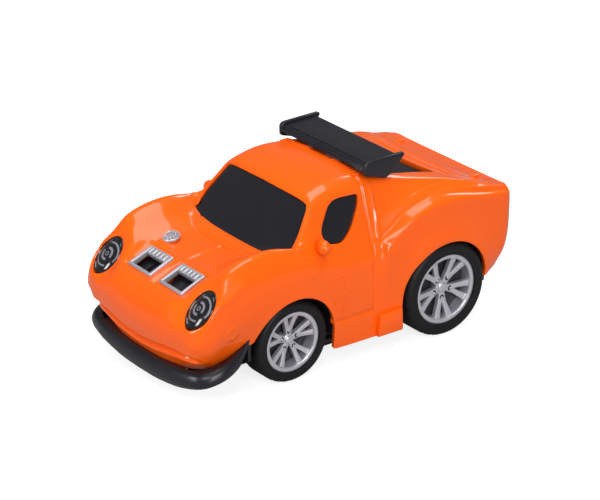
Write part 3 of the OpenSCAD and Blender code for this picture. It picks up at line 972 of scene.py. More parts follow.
    @staticmethod
    def _bend(a: np.ndarray, p: np.ndarray, b: np.ndarray, half: np.ndarray, d: np.ndarray) -> np.ndarray:
        """Rounds the corner at p between a and b.

        Args:
            a: the corner before.
            p: the corner itself.
            b: the corner after.
            half: how far the rounding reaches each way, as a share of a step.
            d: place from -0.5, half way to a, to 0.5, half way to b.

        Returns:
            Places on the rounded line.
        """
        half = np.maximum(half, 1e-6)[..., None]
        d = d[..., None]
        s = np.clip((d + half) / (2 * half), 0, 1)
        curve = (p + (a - p) * half) * (1 - s) ** 2 + 2 * p * s * (1 - s) + (p + (b - p) * half) * s**2
        straight = np.where(d < 0, p - (a - p) * d, p + (b - p) * d)
        return np.where(abs(d) < half, curve, straight)

    def at(self, u: np.ndarray, v: np.ndarray) -> np.ndarray:
        """Places on the left half of the form.

        Args:
            u: section numbers.
            v: line numbers.

        Returns:
            (n, 3) places.
        """
        u = np.clip(u, 0, self.last)
        v = np.clip(v, 0, 6)
        near = np.clip(np.rint(u).astype(int) + 1, 1, self.last + 1)
        d = np.repeat((u + 1 - near)[:, None], 7, 1)
        lines = self._bend(self._control[near - 1], self._control[near], self._control[near + 1],
                           self._along[near] / 2, d)
        low = np.clip(np.floor(u).astype(int), 0, self.last - 1)
        soft = self.soft_up[low] + (self.soft_up[low + 1] - self.soft_up[low]) * (u - low)[:, None]
        lines = np.concatenate([lines, lines[:, 5:6] * np.array([-1, 1, 1])], 1)
        k = np.clip(np.rint(v).astype(int), 0, 6)
        row = np.arange(len(u))
        half = np.where(k == 0, 0, soft[row, k] / 2)
        return self._bend(lines[row, np.maximum(k - 1, 0)], lines[row, k], lines[row, k + 1], half, v - k)

    def normal(self, u: np.ndarray, v: np.ndarray) -> np.ndarray:
        """Outward normals of the left half of the form.

        Args:
            u: section numbers.
            v: line numbers.

        Returns:
            (n, 3) unit normals.
        """
        step = 0.02
        du = self.at(u + step, v) - self.at(u - step, v)
        dv = self.at(u, v + step) - self.at(u, v - step)
        cross = np.cross(du, dv)
        return cross / np.maximum(np.linalg.norm(cross, axis=1), 1e-9)[:, None]


class Layout:
    """Places and outlines that the body and the pieces set into it share.

    Outlines are given for the left side, and every gap is in millimetres.
    """

    FRONT_Y = -16.7
    REAR_Y = 23.3
    FRONT_RADIUS = 9.18
    REAR_RADIUS = 10.83
    ARCH_FRONT = (FRONT_Y, FRONT_RADIUS, 10.3)
    ARCH_REAR = (REAR_Y, REAR_RADIUS - 0.2, 11.5)
    SCREW_Y = (-33, 32.6)
    SCREEN = Plane((0, -12.9, 32.6), 63.3)
    SCREEN_HALF = ((0, -7.3), (4.5, -7.2), (8.8, -6.95), (12.9, -6.4), (15.0, -5.7), (16.0, -4.3),
                   (15.9, -1.6), (14.9, 2.0),
                   (14.2, 4.3), (13.4, 4.9), (10, 5.2), (0, 5.4))
    SIDE_GLASS = ((2.4, 35.6), (-3.2, 35.7), (-5.6, 33.2), (-7.0, 30.9), (-6.3, 29.4), (-5.2, 28.9),
                  (-3.0, 28.75), (-1.2, 29.8),
                  (0.2, 31.4), (1.6, 33.7))
    VENT = Plane((5.8, -34.9, 23.4), 22)
    VENT_SIZE = (8.3, 6.7)
    LAMP = Plane((17.2, -38.3, 21.8), 47.2)
    LAMP_SIZE = (3.4, 4.6)
    TAIL = Plane((12.6, 43.05, 23.6), -90)
    LOUVRE = Plane((0, 18.8, 36.0), -17)
    LOUVRE_SIZE = (25.0, 15.6)
    BADGE = Plane((-9.5, -27.3, 25.55), 14)

    @staticmethod
    def arch(points: np.ndarray, centre: tuple[float, float, float]) -> np.ndarray:
        """Gap to a wheel arch that is round above its centre and straight below it.

        Args:
            points: (n, 3) places on the left side.
            centre: (y, z, radius) of the arch.

        Returns:
            (n,) signed distances, positive outside.
        """
        y, z, r = centre
        high = points[:, 2] - z
        round_part = np.hypot(points[:, 1] - y, np.maximum(high, 0)) - r
        return np.where(points[:, 0] > 8, round_part, FAR)

    @classmethod
    def screen(cls, points: np.ndarray) -> np.ndarray:
        """Gap to the windscreen's outline.

        Args:
            points: (n, 3) places on the left side.

        Returns:
            (n,) signed distances, positive outside.
        """
        flat = cls.SCREEN.flat(points)
        gap = polygon_gap(flat[:, :2],
                          mirrored_outline([tuple(k) for k in smooth_line(cls.SCREEN_HALF, 3)]), 0.5)
        return np.maximum(gap, abs(flat[:, 2]) - 1.6)

    @classmethod
    def side_glass(cls, points: np.ndarray) -> np.ndarray:
        """Gap to the side window's outline."""
        gap = polygon_gap(points[:, 1:], smooth_line([*cls.SIDE_GLASS, cls.SIDE_GLASS[0]], 3)[:-1], 0.85)
        return np.where(points[:, 0] > 11, gap, FAR)

    @classmethod
    def vent(cls, points: np.ndarray) -> np.ndarray:
        """Gap to the hood vent's outline.

        Args:
            points: (n, 3) places on the left side.

        Returns:
            (n,) signed distances, positive outside.
        """
        flat = cls.VENT.flat(points)
        radius = 0.5
        gap = polygon_gap(flat[:, :2], rectangle(cls.VENT_SIZE, radius), radius)
        return np.where(abs(flat[:, 2]) < 4, gap, FAR)

    @classmethod
    def lamp(cls, points: np.ndarray) -> np.ndarray:
        """Gap to the headlight's outline.

        Args:
            points: (n, 3) places on the left side.

        Returns:
            (n,) signed distances, positive outside.
        """
        flat = cls.LAMP.flat(points)
        a, b = cls.LAMP_SIZE
        share = np.hypot(flat[:, 0] / a, flat[:, 1] / b)
        return np.where(abs(flat[:, 2]) < 5, (share - 1) * a, FAR)

    @staticmethod
    def seat(points: np.ndarray, plane: Plane, gap: Field, level: float, reach: float,
             lowest: float) -> np.ndarray:
        """Shift that brings the skin round an opening to the opening's own plane.

        Args:
            points: (n, 3) places on either side.
            plane: the opening's plane on the left side.
            gap: signed distance to its outline.
            level: height over the plane that the skin takes.
            reach: how far from the outline the shift fades out.
            lowest: least height over the level that is moved.

        Returns:
            (n, 3) shifts.
        """
        local = on_left(points)
        height = plane.flat(local)[:, 2] - level
        share = np.exp(-((np.clip(gap(local), 0, None) / reach) ** 2))
        drop = np.where((height > lowest) & (height < 5), height * share, 0)
        return -drop[:, None] * plane.basis()[2]

    @classmethod
    def seats(cls, points: np.ndarray) -> np.ndarray:
        """Shift of the skin round the headlights and the hood vents."""
        lamps = cls.seat(points, cls.LAMP, cls.lamp, level=-0.15, reach=2.4, lowest=0)
        return lamps + cls.seat(points, cls.VENT, cls.vent, level=-0.1, reach=1.7, lowest=-5)

    @classmethod
    def tail(cls, points: np.ndarray) -> np.ndarray:
        """Gap to the tail light's outline.

        Args:
            points: (n, 3) places on the left side.

        Returns:
            (n,) signed distances, positive outside.
        """
        flat = cls.TAIL.flat(points)
        gap = np.hypot(flat[:, 0] / 1.3, flat[:, 1]) - 2.4
        return np.where(abs(flat[:, 2]) < 3, gap, FAR)

    @classmethod
    def louvre(cls, points: np.ndarray) -> np.ndarray:
        """Gap to the engine louvre's outline.

        Args:
            points: (n, 3) places on the left side.

        Returns:
            (n,) signed distances, positive outside.
        """
        flat = cls.LOUVRE.flat(points)
        radius = 1.0
        gap = polygon_gap(flat[:, :2], rectangle(cls.LOUVRE_SIZE, radius), radius)
        return np.where(abs(flat[:, 2]) < 4, gap, FAR)

    @classmethod
    def all_cuts(cls, points: np.ndarray) -> np.ndarray:
        """Gap to the nearest opening in the body.

        Args:
            points: (n, 3) places on the left side.

        Returns:
            (n,) signed distances, positive outside.
        """
        gaps = [cls.arch(points, cls.ARCH_FRONT), cls.arch(points, cls.ARCH_REAR), cls.screen(points),
                cls.side_glass(points), cls.vent(points), cls.lamp(points), cls.tail(points),
                cls.louvre(points)]
        return np.min(gaps, axis=0)


@dataclass
class SkinGrid:
    """A fine grid over the left half of the body form, cut along an outline."""

    form: BodyForm
    steps_u: np.ndarray
    steps_v: np.ndarray

    def cut(self, gap: Field, keep_inside: bool = False) -> tuple[np.ndarray, np.ndarray, list]:
        """Snaps the grid to an outline and keeps one side of it.

        Args:
            gap: signed distance to the outline, positive outside.
            keep_inside: whether the inner side is the one to keep.

        Returns:
            u and v of the points, and the faces.
        """
        nu, nv = len(self.steps_u), len(self.steps_v)
        u, v = (a.ravel() for a in np.meshgrid(self.steps_u, self.steps_v, indexing="ij"))
        sign = -1.0 if keep_inside else 1.0

        def field_at(uu: np.ndarray, vv: np.ndarray) -> np.ndarray:
            """Signed distance at places on the form, positive on the side to keep."""
            return sign * gap(self.form.at(uu, vv))

        d = field_at(u, v)
        index = np.arange(nu * nv).reshape(nu, nv)
        along = np.c_[index[:-1].ravel(), index[1:].ravel()]
        up = np.c_[index[:, :-1].ravel(), index[:, 1:].ravel()]
        edges = np.vstack([along, up])
        a, b = edges[:, 0], edges[:, 1]
        hit = ((d[a] > 0) != (d[b] > 0)) & (np.maximum(abs(d[a]), abs(d[b])) < 50)
        a, b = a[hit], b[hit]
        low, high = np.zeros(len(a)), np.ones(len(a))
        side = d[a] > 0
        for _ in range(16):
            mid = (low + high) / 2
            same = (field_at(u[a] + (u[b] - u[a]) * mid, v[a] + (v[b] - v[a]) * mid) > 0) == side
            low, high = np.where(same, mid, low), np.where(same, high, mid)
        t = (low + high) / 2
        new_u, new_v = u[a] + (u[b] - u[a]) * t, v[a] + (v[b] - v[a]) * t
        who, move = np.where(t < 0.5, a, b), np.where(t < 0.5, t, 1 - t)
        order = np.argsort(-move, kind="stable")
        state = np.sign(d)
        u, v = u.copy(), v.copy()
        u[who[order]], v[who[order]] = new_u[order], new_v[order]
        state[who] = 0
        faces = []
        for i in range(nu - 1):
            for j in range(nv - 1):
                quad = [index[i, j], index[i + 1, j], index[i + 1, j + 1], index[i, j + 1]]
                s = state[quad]
                if (s >= 0).all():
                    if (s == 0).all():
                        mu, mv = u[quad].mean(keepdims=True), v[quad].mean(keepdims=True)
                        if field_at(mu, mv)[0] <= 0:
                            continue
                    faces.append(quad)
                elif (s < 0).sum() == 1:
                    first = int(np.argmin(s))
                    rest = quad[first + 1:] + quad[:first]
                    if (state[rest] > 0).any():
                        faces.append(rest)
        return u, v, faces


def spread(stops: Sequence[tuple[float, float, int]]) -> np.ndarray:
    """Grid steps from (start, end, count) stretches that follow one another."""
    parts = [np.linspace(a, b, n, endpoint=False) for a, b, n in stops]
    return np.concatenate([*parts, [stops[-1][1]]])


@dataclass
class Body:
    """The painted body with everything that is cast in one with it."""

    form: BodyForm
    wall: float = 1.05

    MOUTH = ((0, 10.5), (5, 10.9), (9, 11.5), (13, 11.9), (15.8, 12.1), (17.6, 12.0))
    CREST = ((19.3, -40.6, 15.5), (20.2, -39.8, 18.2), (20.6, -38.8, 20.6), (20.8, -36.6, 23.1),
             (21.0, -33.7, 24.2), (20.8, -30.0, 26.4))
    HAUNCH = ((6.8, 26.0), (8.0, 27.05), (9.8, 28.2), (13.1, 30.8), (17.6, 32.5), (22.7, 33.1),
              (28.0, 32.3), (34, 31.0), (39.9, 30.2))
    COWL = ((-12.6, -17.6), (-12.0, -19.6), (-9, -20.4), (0, -20.6), (9, -20.4), (12.0, -19.6),
            (12.6, -17.6))
    PILLAR_FOOT = ((-15.2, 29.3), (-13.8, 26.4), (-12.8, 23.6))

    def grid(self) -> SkinGrid:
        """Grid with closer lines along the door and the sharp lines.

        Returns:
            The grid.
        """
        along = spread([(0, 1, 14), (1, 3, 34), (3, 3.5, 8), (3.5, 4.7, 26), (4.7, 5, 4), (5, 5.15, 4),
                        (5.15, 7.88, 30), (7.88, 8.12, 6),
                        (8.12, 11.4, 38), (11.4, 14.3, 48), (14.3, 16, 14)])
        up = spread([(0, 0.9, 9), (0.9, 1.1, 5), (1.1, 1.86, 12), (1.86, 3.2, 22), (3.2, 4.8, 24),
                     (4.8, 5.2, 8), (5.2, 6, 20)])
        return SkinGrid(self.form, along, up)

    def relief(self, p: np.ndarray, u: np.ndarray, v: np.ndarray) -> np.ndarray:
        """Raised and sunk detail, in millimetres along the normal.

        Args:
            p: (n, 3) places, true side included.
            u: section numbers.
            v: line numbers.

        Returns:
            (n,) heights.
        """
        left = on_left(p)
        return (self.door_lines(left, u, v) + self.nose_lines(left) + self.haunch_lines(left)
                + self.hood_lines(left) + self.cowl_lines(left, u) + self.opening_rims(left)
                + self.arch_lips(left) + self.deck_lines(left) + self.flank_marks(left))

    @staticmethod
    def door_lines(p: np.ndarray, u: np.ndarray, v: np.ndarray) -> np.ndarray:
        """Grooves along the door's rear and lower edges, and two raised lines behind it.

        Args:
            p: (n, 3) places on the left side.
            u: section numbers.
            v: line numbers.

        Returns:
            (n,) heights.
        """
        door_step, rear_step = 6.0, 4.5  # millimetres from one section to the next
        rear_edge = ridge((u - 8.0) * door_step, 0.3, -0.3) * ((v > 0.95) & (v < 5.2))
        low_edge = ridge((v - 1.0) * door_step, 0.3, -0.3) * ((u > 6.0) & (u < 8.02) & (p[:, 1] > -6.5))
        pillar = ridge((u - 8.45) * rear_step, 0.42, 0.28) * rise(v, 3.2, 3.45) * rise(v, 5.0, 4.75)
        flank = ridge((u - 8.75) * rear_step, 0.4, 0.3) * rise(v, 1.2, 1.5333) * rise(v, 3.0, 2.5)
        return np.minimum(rear_edge, low_edge) + pillar + flank

    def nose_lines(self, p: np.ndarray) -> np.ndarray:
        """Mouth slot with its lip, and the crest from the mouth's corner up over the wing.

        Args:
            p: (n, 3) places on the left side.

        Returns:
            (n,) heights.
        """
        mouth = line_gap(p[:, ::2], smooth_line(self.MOUTH, 3))
        slot = (ridge(mouth, 0.5, -1.0) + ridge(mouth - 1.15, 0.32, 0.16)) * (p[:, 1] < -36)
        return slot + ridge(line_gap(p, smooth_line(self.CREST, 3)), 1.0, 0.32)

    def haunch_lines(self, p: np.ndarray) -> np.ndarray:
        """Groove that climbs over the rear wheel, with a soft line above it.

        Args:
            p: (n, 3) places on the left side.

        Returns:
            (n,) heights.
        """
        haunch = line_gap(p[:, 1:], smooth_line(self.HAUNCH, 3))
        return (ridge(haunch, 0.42, -0.3) + ridge(haunch - 1.2, 0.8, 0.12)) * (p[:, 0] > 17.5)

    @staticmethod
    def hood_lines(p: np.ndarray) -> np.ndarray:
        """Raised line down the middle of the hood, and the round mark at its front end.

        Args:
            p: (n, 3) places on the left side.

        Returns:
            (n,) heights.
        """
        x, y, z = p.T
        middle = ridge(x, 0.36, 0.3) * rise(y, -40, -38) * rise(y, -20.2, -21.2)
        mark = ridge(np.hypot(x, y + 40.4), 0.45, 0.3)
        return (middle + mark) * ((z < 30) & (z > 18) & (y < -17))

    def cowl_lines(self, p: np.ndarray, u: np.ndarray) -> np.ndarray:
        """Groove across the cowl below the windscreen, with a raised line beside it.

        Args:
            p: (n, 3) places on the left side.
            u: section numbers.

        Returns:
            (n,) heights.
        """
        cowl = line_gap(p[:, :2], np.array(self.COWL))
        here = (p[:, 2] < 29.5) & (p[:, 2] > 24) & (u < 5)
        return (ridge(cowl, 0.42, -0.3) + ridge(cowl - 0.7, 0.35, 0.12)) * here

    @staticmethod
    def opening_rims(p: np.ndarray) -> np.ndarray:
        """Thin raised rims round the windows, the engine louvre and the headlights.

        Args:
            p: (n, 3) places on the left side.

        Returns:
            (n,) heights.
        """
        rims = ((Layout.screen, 0.55, 0.5, 0.14), (Layout.side_glass, 0.55, 0.45, 0.14),
                (Layout.louvre, 0.55, 0.5, 0.12), (Layout.lamp, 0.3, 0.45, 0.12))
        return sum(ridge(gap(p) - off, width, height) for gap, off, width, height in rims)

    @staticmethod
    def arch_lips(p: np.ndarray) -> np.ndarray:
        """Lips round the wheel arches, and the flares over the rear wheel and the nose's corner.

        Args:
            p: (n, 3) places on the left side.

        Returns:
            (n,) heights.
        """
        x, y, z = p.T
        rear = Layout.arch(p, Layout.ARCH_REAR)
        lips = ridge(np.minimum(Layout.arch(p, Layout.ARCH_FRONT), rear) - 0.5, 0.6, 0.12)
        flare = ridge(np.clip(rear, 0, None), 3.2, 0.65) * rise(y, 12.5, 16.5) * (x > 16)
        corner = np.sqrt(((x - 20.5) / 5.5) ** 2 + ((y + 40.5) / 5.0) ** 2 + ((z - 14.0) / 5.5) ** 2)
        return lips + flare + ridge(corner, 1.0, 1.3)

    @staticmethod
    def deck_lines(p: np.ndarray) -> np.ndarray:
        """Two grooves and a fold across the deck behind the louvre.

        Args:
            p: (n, 3) places on the left side.

        Returns:
            (n,) heights.
        """
        x, y, z = p.T
        folds = ridge(y - 29.2, 0.45, -0.3) + ridge(y - 30.4, 0.6, 0.2) + ridge(y - 33.0, 0.5, -0.3)
        return folds * (z > 29) * rise(x, 14.5, 13.0)

    def flank_marks(self, p: np.ndarray) -> np.ndarray:
        """Round mark ahead of the front wheel, and the raised line at the windscreen pillar's foot.

        Args:
            p: (n, 3) places on the left side.

        Returns:
            (n,) heights.
        """
        x, y, z = p.T
        mark = np.hypot(y + 33.3, z - 16.6)
        foot = line_gap(p[:, 1:], np.array(self.PILLAR_FOOT))
        return (ridge(mark - 1.3, 0.38, 0.3) + ridge(mark, 0.4, 0.3) + ridge(foot, 0.42, 0.28)) * (x > 17)

    def shell(self) -> bpy.types.Object:
        """The skin with its openings, wall and rounded rims.

        Returns:
            The skin.
        """
        u, v, faces = self.grid().cut(Layout.all_cuts)
        base, normal = self.form.at(u, v), self.form.normal(u, v)
        points, polygons = [], []
        close = 1e-6
        for sign in (1, -1):
            flip = np.array([sign, 1, 1])
            p, n = base * flip, normal * flip
            n[(u < close) | (u > self.form.last - close) | (v > 6 - close), 0] = 0
            p = p + n * self.relief(p, u, v)[:, None] + Layout.seats(p)
            offset = len(points) * len(u)
            points.append(p)
            polygons += [[q + offset for q in (f if sign > 0 else f[::-1])] for f in faces]
        skin = Bench.mesh("body_shell_paint", np.vstack(points), polygons)
        Bench.tidy(skin, 0.01, outward=False)
        Bench.drop_loose(skin)
        Bench.wall(skin, self.wall)
        Bench.bevel(skin, 0.2, 2, 55)
        return skin

    def mirror_pod(self) -> bpy.types.Object:
        """Door mirror: a rounded pod on a short stalk.

        Returns:
            The left mirror.
        """
        Bench.clear()
        bpy.ops.mesh.primitive_uv_sphere_add(segments=24, ring_count=16, radius=1, location=(0, 0, 0))
        pod = bpy.context.active_object
        centre, half_sizes, swing = Vector((20.3, -9.4, 29.1)), (1.95, 1.35, 1.6), math.radians(-18)
        stretch = Matrix.Diagonal((*[h * MM for h in half_sizes], 1))
        pod.data.transform(Matrix.Translation(centre * MM) @ Matrix.Rotation(swing, 4, "Z") @ stretch)
        stalk = Bench.rod("stalk", 1.3, (17.4, -9.0, 27.0), (20.0, -9.4, 28.8), 20, 0.8)
        return Bench.join("mirror", [pod, stalk])

    def door_vent(self) -> list[bpy.types.Object]:
        """Row of small studs round the tapered vent on the door.

        Returns:
            The left door's studs.
        """
        studs = []
        top = [(-7.9 + 0.8 * i, 21.3) for i in range(6)]
        rear = [(-3.75 - 0.09 * i, 20.4 - 0.95 * i) for i in range(8)]
        front = [(-8.0 + 0.42 * i, 20.2 - 1.15 * i) for i in range(6)]
        tip = [(-4.9, 12.9)]
        for y, z in [*top, *rear, *front, *tip]:
            Bench.clear()
            bpy.ops.mesh.primitive_uv_sphere_add(segments=10, ring_count=8, radius=0.26 * MM,
                                                 location=(0, 0, 0))
            stud = bpy.context.active_object
            x = self.side_x(y, z)
            stud.data.transform(Matrix.Translation(Vector((x, y, z)) * MM))
            studs.append(stud)
        return studs

    def side_x(self, y: float, z: float) -> float:
        """How far out the left flank is.

        Args:
            y: place along the car.
            z: height.

        Returns:
            The distance from the middle plane.
        """
        u, v = np.meshgrid(np.linspace(5.5, 8.5, 61), np.linspace(0, 3.5, 71), indexing="ij")
        p = self.form.at(u.ravel(), v.ravel())
        return float(p[np.argmin(np.hypot(p[:, 1] - y, p[:, 2] - z)), 0])

    def sill(self) -> bpy.types.Object:
        """Stepped sill ahead of the rear wheel.

        Returns:
            The left sill.
        """
        block = Bench.prism("sill", [(4.7, 4.7), (11.5, 4.7), (11.3, 9.9), (5.3, 9.5)], 19.3, 21.2)
        Bench.bevel(block, 0.3, 3)
        return block

    def posts(self) -> list[bpy.types.Object]:
        """Screw posts under the hood and the deck."""
        return [Bench.rod("post", 2.0, (0, y, 4.5), (0, y, top), 24) for y,
                top in zip(Layout.SCREW_Y, (21.0, 31.3))]

    def roof_z(self, x: float, y: float) -> float:
        """How high the back of the roof is at a place.

        Args:
            x: how far from the middle line.
            y: place along the car.

        Returns:
            The height.
        """
        u, v = np.meshgrid(np.linspace(7.2, 8.2, 41), np.linspace(5.05, 6, 60), indexing="ij")
        p = self.form.at(u.ravel(), v.ravel())
        return float(p[np.argmin(np.hypot(p[:, 0] - x, p[:, 1] - y)), 2])

    def roof_ticks(self) -> list[bpy.types.Object]:
        """Short ribs in two rows across the back of the roof.

        Returns:
            The ribs.
        """
        ticks = []
        first, pitch, y = 4.4, 1.0, 4.6
        for k in range(9):
            x = first + k * pitch
            z = self.roof_z(x, y) + 0.05
            for side in Side:
                tick = Bench.block("tick", (0.5, 2.2, 0.5), (side.value * x, y, z))
                Bench.bevel(tick, 0.12, 2)
                ticks.append(tick)
        return ticks

    def deck_nubs(self) -> list[bpy.types.Object]:
        """Two small brackets at the ends of the deck's rear edge.

        Returns:
            The brackets.
        """
        nubs = []
        for x in (-13.0, 13.0):
            nub = Bench.block("nub", (1.1, 2.8, 0.9), (x, 37.0, 31.2))
            Bench.bevel(nub, 0.3, 3)
            nubs.append(nub)
        return nubs

    def build(self) -> None:
        """Builds and places the whole body."""
        pod = self.mirror_pod()
        sill = self.sill()
        studs = Bench.join("studs", self.door_vent())
        parts = [self.shell(), pod, Bench.mirrored(pod, "mirror_right"), sill,
                 Bench.mirrored(sill, "sill_right"),
                 studs, Bench.mirrored(studs, "studs_right"), *self.posts(), *self.roof_ticks(),
                 *self.deck_nubs()]
        body = Bench.join("body_shell_paint", parts)
        Bench.smooth(body, 38)
        place(dress(body, Finishes.PAINT), "car", ["body_shell"])


@dataclass
class SetIn:
    """A panel that fills an opening and follows the skin.

    Lift is its height over the skin at the edge, crown what the middle adds, margin the gap to the
    opening's edge, and grid its (start, end, count) of sections and of lines. All are millimetres
    except the grid.
    """

    form: BodyForm
    gap: Field
    name: str
    lift: float
    thick: float
    crown: float = 0.0
    margin: float = 0.06
    grid: tuple = ((0, 16, 10), (0, 6, 10))

    def build(self, both: bool = True) -> list[bpy.types.Object]:
        """Makes the panel, and its mirror image where it has one.

        Args:
            both: whether the right one is joined to the left one across the middle.

        Returns:
            The panels: one, or left and right.
        """
        (u0, u1, nu), (v0, v1, nv) = self.grid
        grid = SkinGrid(self.form, np.linspace(u0, u1, nu), np.linspace(v0, v1, nv))
        u, v, faces = grid.cut(lambda p: self.gap(p) + self.margin, keep_inside=True)
        base, normal = self.form.at(u, v), self.form.normal(u, v)
        normal[(v > 6 - 1e-6), 0] = 0
        depth = np.clip(-self.gap(base) - self.margin, 0, None)
        lift = self.lift + self.crown * (1 - np.exp(-depth / 0.9))
        p = base + normal * lift[:, None]
        left = Bench.mesh(self.name, p, faces)
        Bench.tidy(left, 0.004, outward=False)
        Bench.drop_loose(left)
        right = Bench.mirrored(left, self.name + "_right")
        panels = [Bench.join(self.name, [left, right])] if both else [left, right]
        for panel in panels:
            if both:
                Bench.tidy(panel, 0.01, outward=False)
            Bench.wall(panel, self.thick)
            Bench.bevel(panel, 0.12, 2, 55)
            Bench.smooth(panel, 40)
        return panels


@dataclass
class Windows:
    """Smoked window unit under the roof."""

    form: BodyForm

    def build(self) -> None:
        """Builds windscreen and side windows as one piece, joined by a roof sheet."""
        screen = SetIn(self.form, Layout.screen, "windscreen", -0.4, 0.9,
                       grid=((4.1, 6.3, 70), (4.0, 6, 70))).build()[0]
        sides = SetIn(self.form, Layout.side_glass, "side_glass", -0.55, 0.9,
                      grid=((5.6, 8.4, 60), (3.6, 5.2, 40))).build(both=False)
        sheet = Bench.block("roof_sheet", (26.4, 11.0, 0.8), (0, -3.4, 35.6))
        unit = Bench.join("window_unit", [screen, *sides, sheet])
        Bench.smooth(unit, 40)
        place(dress(unit, Finishes.WINDOW), "car", ["window_glazing"])


@dataclass
class Lamps:
    """Headlights and tail lights."""

    form: BodyForm

    def headlights(self) -> None:
        """Dark domed lamps with a stepped edge and a plain printed middle."""
        a, b = Layout.LAMP_SIZE
        profile = [(-1.2, 0.985), (-0.12, 0.985), (0.0, 0.96), (0.02, 0.88), (-0.1, 0.85), (-0.02, 0.82),
                   (0.3, 0.6), (0.46, 0.36), (0.52, 0.0)]
        dome = Bench.lathe("dome", profile, (0, 0), 56, closed=False)
        dome.data.transform(Layout.LAMP.matrix() @ Matrix.Diagonal((a, b, 1, 1)) @ STAND_UP)
        Bench.smooth(dome, 40)
        x, y, z = Layout.LAMP.out(np.array([[-0.1, 0.1, 0]]))[0]
        for side, copy in ((Side.LEFT, Bench.copy), (Side.RIGHT, Bench.mirrored)):
            name = f"headlight_{side.tag}"
            lamp = copy(dome, name + "_lens")
            finish = LampFinish(f"lamp_print_{side.tag}", (0.006, 0.006, 0.008), (0.015, 0.015, 0.018),
                                0.14, coat=0.5,
                                tone_scale=300, centre=(x * side.value, y, z),
                                turn=(Layout.LAMP.lean, 0, 0))
            place(dress(lamp, finish), "car", [name])
        bpy.data.objects.remove(dome)

    def tail_lights(self) -> None:
        """Red oval lenses, domed in the middle."""
        pair = SetIn(self.form, Layout.tail, "tail_light", -0.3, 0.7, crown=0.5,
                     grid=((13.6, 15.4, 50), (1.0, 2.2, 50))).build(both=False)
        for lamp, side in zip(pair, Side):
            name = f"tail_light_{side.tag}"
            lamp.name = name + "_lens"
            place(dress(lamp, Finishes.RED), "car", [name])

    def build(self) -> None:
        """Builds all four lamps."""
        self.headlights()
        self.tail_lights()


@dataclass
class HoodVents:
    """Bright frames with rounded slats in the hood, and the oval badge."""

    slats: int = 5

    def vent(self) -> bpy.types.Object:
        """One vent: a bevelled frame, a shelf and slats over its rear edge.

        Returns:
            The left vent.
        """
        w, l = Layout.VENT_SIZE
        Bench.clear()
        bpy.ops.mesh.primitive_plane_add(size=1, location=(0, 0, 0))
        frame = bpy.context.active_object
        frame.data.transform(Matrix.Diagonal((w * MM, l * MM, 1, 1)))
        Bench.edit(frame)
        bpy.ops.mesh.inset(thickness=0.75 * MM, depth=0)
        bpy.ops.mesh.delete(type="FACE")
        Bench.done()
        Bench.modify(frame, "SOLIDIFY", thickness=1.5 * MM, offset=-1)
        Bench.bevel(frame, 0.28, 3)
        frame.data.transform(Matrix.Translation((0, 0, 0.5 * MM)))
        parts = [frame, Bench.block("shelf", (w - 1.2, 1.5, 0.9), (0, l / 2 - 1.4, -0.2))]
        pitch = (w - 1.9) / self.slats
        for i in range(self.slats):
            x = -w / 2 + 0.95 + pitch * (i + 0.5)
            slat = Bench.block("slat", (pitch * 0.62, 1.7, 0.6), (x, l / 2 - 1.25, 0.35))
            Bench.bevel(slat, 0.28, 3)
            parts.append(slat)
        whole = Bench.join("hood_vent", parts)
        whole.data.transform(Layout.VENT.matrix())
        Bench.smooth(whole, 40)
        return whole

    def floor(self) -> bpy.types.Object:
        """Dark tray under one vent, seen through the frame: painted shade for the dark inside of the vent.

        Returns:
            The left tray.
        """
        w, l = Layout.VENT_SIZE
        tray = Bench.block("hood_vent_tray", (w - 0.6, l - 0.6, 0.5), (0, 0, -2.1))
        fin = Bench.block("fin", (0.3, 2.6, 0.5), (0.6, -0.6, -1.7))
        tray = Bench.join("hood_vent_tray", [tray, fin])
        tray.data.transform(Layout.VENT.matrix())
        return tray

    def badge(self) -> bpy.types.Object:
        """Plain oval stud with a ring and a beaded edge.

        Returns:
            The badge.
        """
        ring = Bench.lathe("badge", [(-0.2, 0.0), (-0.2, 1.75), (0.15, 1.75), (0.32, 1.6), (0.3, 1.3),
                                     (0.16, 1.15), (0.2, 0.0)],
                           (0, 0), 40, closed=False)
        beads = [ring]
        for k in range(10):
            a = math.tau * k / 10
            Bench.clear()
            bpy.ops.mesh.primitive_uv_sphere_add(segments=10, ring_count=8, radius=0.24 * MM,
                                                 location=(0.3 * MM, 1.0 * MM * math.cos(a),
                                                           1.0 * MM * math.sin(a)))
            bead = bpy.context.active_object
            bpy.ops.object.transform_apply(location=True, rotation=True, scale=True)
            beads.append(bead)
        badge = Bench.join("hood_badge_stud", beads)
        lift = Matrix.Translation((0, 0, 0.3 * MM))
        stretch = Matrix.Diagonal((1.25, 1.15, 1.2, 1))
        badge.data.transform(Layout.BADGE.matrix() @ lift @ stretch @ STAND_UP)
        Bench.smooth(badge, 40)
        return badge

    def build(self) -> None:
        """Builds both vents, their trays and the badge."""
        left = self.vent()
        right = Bench.mirrored(left, "hood_vent_right_frame")
        left.name = "hood_vent_left_frame"
        tray = self.floor()
        other = Bench.mirrored(tray, "hood_vent_right_tray")
        tray.name = "hood_vent_left_tray"
        for piece, side in ((left, Side.LEFT), (right, Side.RIGHT)):
            place(dress(piece, Finishes.BRIGHT), "car", [f"hood_vent_{side.tag}"])
        # The trays' black is painted shade inside the vents.
        for piece in (tray, other):
            place(dress(piece, Finishes.BLACK), "car")
        place(dress(self.badge(), Finishes.BRIGHT), "car", ["hood_badge"])


